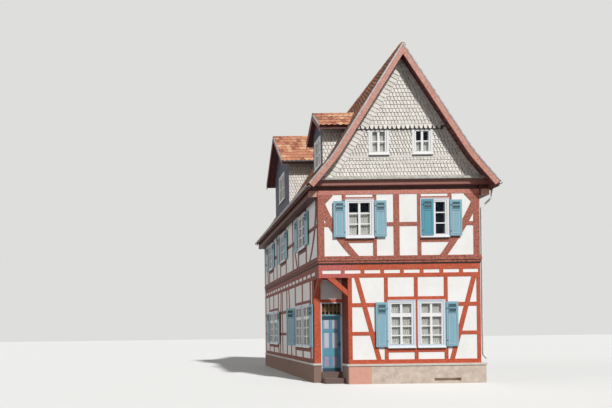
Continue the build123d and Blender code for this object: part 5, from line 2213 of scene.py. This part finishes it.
@dataclass
class Stage:
    """The plain floor, the soft light and the camera at the photograph's place.

    A lamp is given by the way from the house towards it, its strength and how large it looks, in
    degrees. `pale` is what the camera sees of floor and sky, `dull` what lights the house.
    """

    camera_place: tuple[float, float, float] = (-8.271, -16.409, 1.969)
    lens_mm: float = 25.96
    shift: Span = (0.2109, 0.2115)
    roll_deg: float = 0.734
    turn_deg: float = 0.083
    sensor_mm: float = 36.0
    farthest: float = 500.0
    floor_half: float = 120.0
    pale: str = "#DEDEDC"
    dull: str = "#6C6C6E"
    floor_roughness: float = 0.9
    sky_light: float = 0.2
    key_light: Lamp = ((0.2351, -0.6125, 0.7547), 3.7, 4.0)
    fill_light: Lamp = ((-1.0, -0.05, 0.2), 0.85, 50.0)

    def build(self) -> None:
        """Sets up floor, lamps, world and camera."""
        self.floor()
        self.world()
        self.lamp("key_light", self.key_light)
        self.lamp("fill_light", self.fill_light)
        self.camera()
        bpy.context.scene.view_settings.view_transform = "Standard"

    def floor(self) -> None:
        """A large pale plane."""
        half = self.floor_half
        corners = [(-half, -half, 0), (half, -half, 0), (half, half, 0), (-half, half, 0)]
        mesh = bpy.data.meshes.new("floor")
        mesh.from_pydata(corners, [], [(0, 1, 2, 3)])
        paint = StudioFloor("painted_studio_floor", self.pale, self.dull, self.floor_roughness)
        mesh.materials.append(paint.material())
        plane = placed("floor", mesh)

    def world(self) -> None:
        """A pale sky that lights softly and shows paler to the camera."""
        world = bpy.data.worlds.new("pale_world")
        world.use_nodes = True
        tree = world.node_tree
        tree.nodes.clear()
        light, shown = (
            add(tree, "ShaderNodeBackground", {"Color": linear(colour), "Strength": strength}).outputs[0]
            for colour, strength in (("#FFFFFF", self.sky_light), (self.pale, 1.0))
        )
        mixed = add(tree, "ShaderNodeMixShader", links={0: seen_directly(tree), 1: light, 2: shown})
        add(tree, "ShaderNodeOutputWorld", links={"Surface": mixed.outputs[0]})
        bpy.context.scene.world = world

    def lamp(self, name: str, lamp: Lamp) -> None:
        """Hangs a soft, distant lamp.

        Args:
            name: Its name.
            lamp: The way towards it, how strong and how large it is.
        """
        towards, strength, angle_deg = lamp
        data = bpy.data.lights.new(name, "SUN")
        data.energy = strength
        data.angle = math.radians(angle_deg)
        placed(name, data).rotation_euler = Vector(towards).to_track_quat("Z", "Y").to_euler()

    def camera(self) -> None:
        """The camera, level and slightly rolled, with the photograph's framing."""
        data = bpy.data.cameras.new("camera")
        data.lens = self.lens_mm
        data.sensor_width = self.sensor_mm
        data.shift_x, data.shift_y = self.shift
        data.clip_end = self.farthest
        camera = placed("camera", data)
        camera.location = self.camera_place
        camera.rotation_euler = (math.pi / 2, math.radians(self.roll_deg), math.radians(self.turn_deg))
        bpy.context.scene.camera = camera


def main() -> None:
    """Builds the house's dress in order."""
    logging.basicConfig(level=logging.INFO, format="%(name)s: %(message)s")
    Stage().build()
    Carcass().dress()
    line = RoofLine()
    RoofCovering(line).build()
    SlateWork(line).build()
    TimberMarks().build()
    WindowTrim().build()
    Curtains().build()
    ShutterTrim().build()
    Doorway().build()


if __name__ == "__main__":
    main()
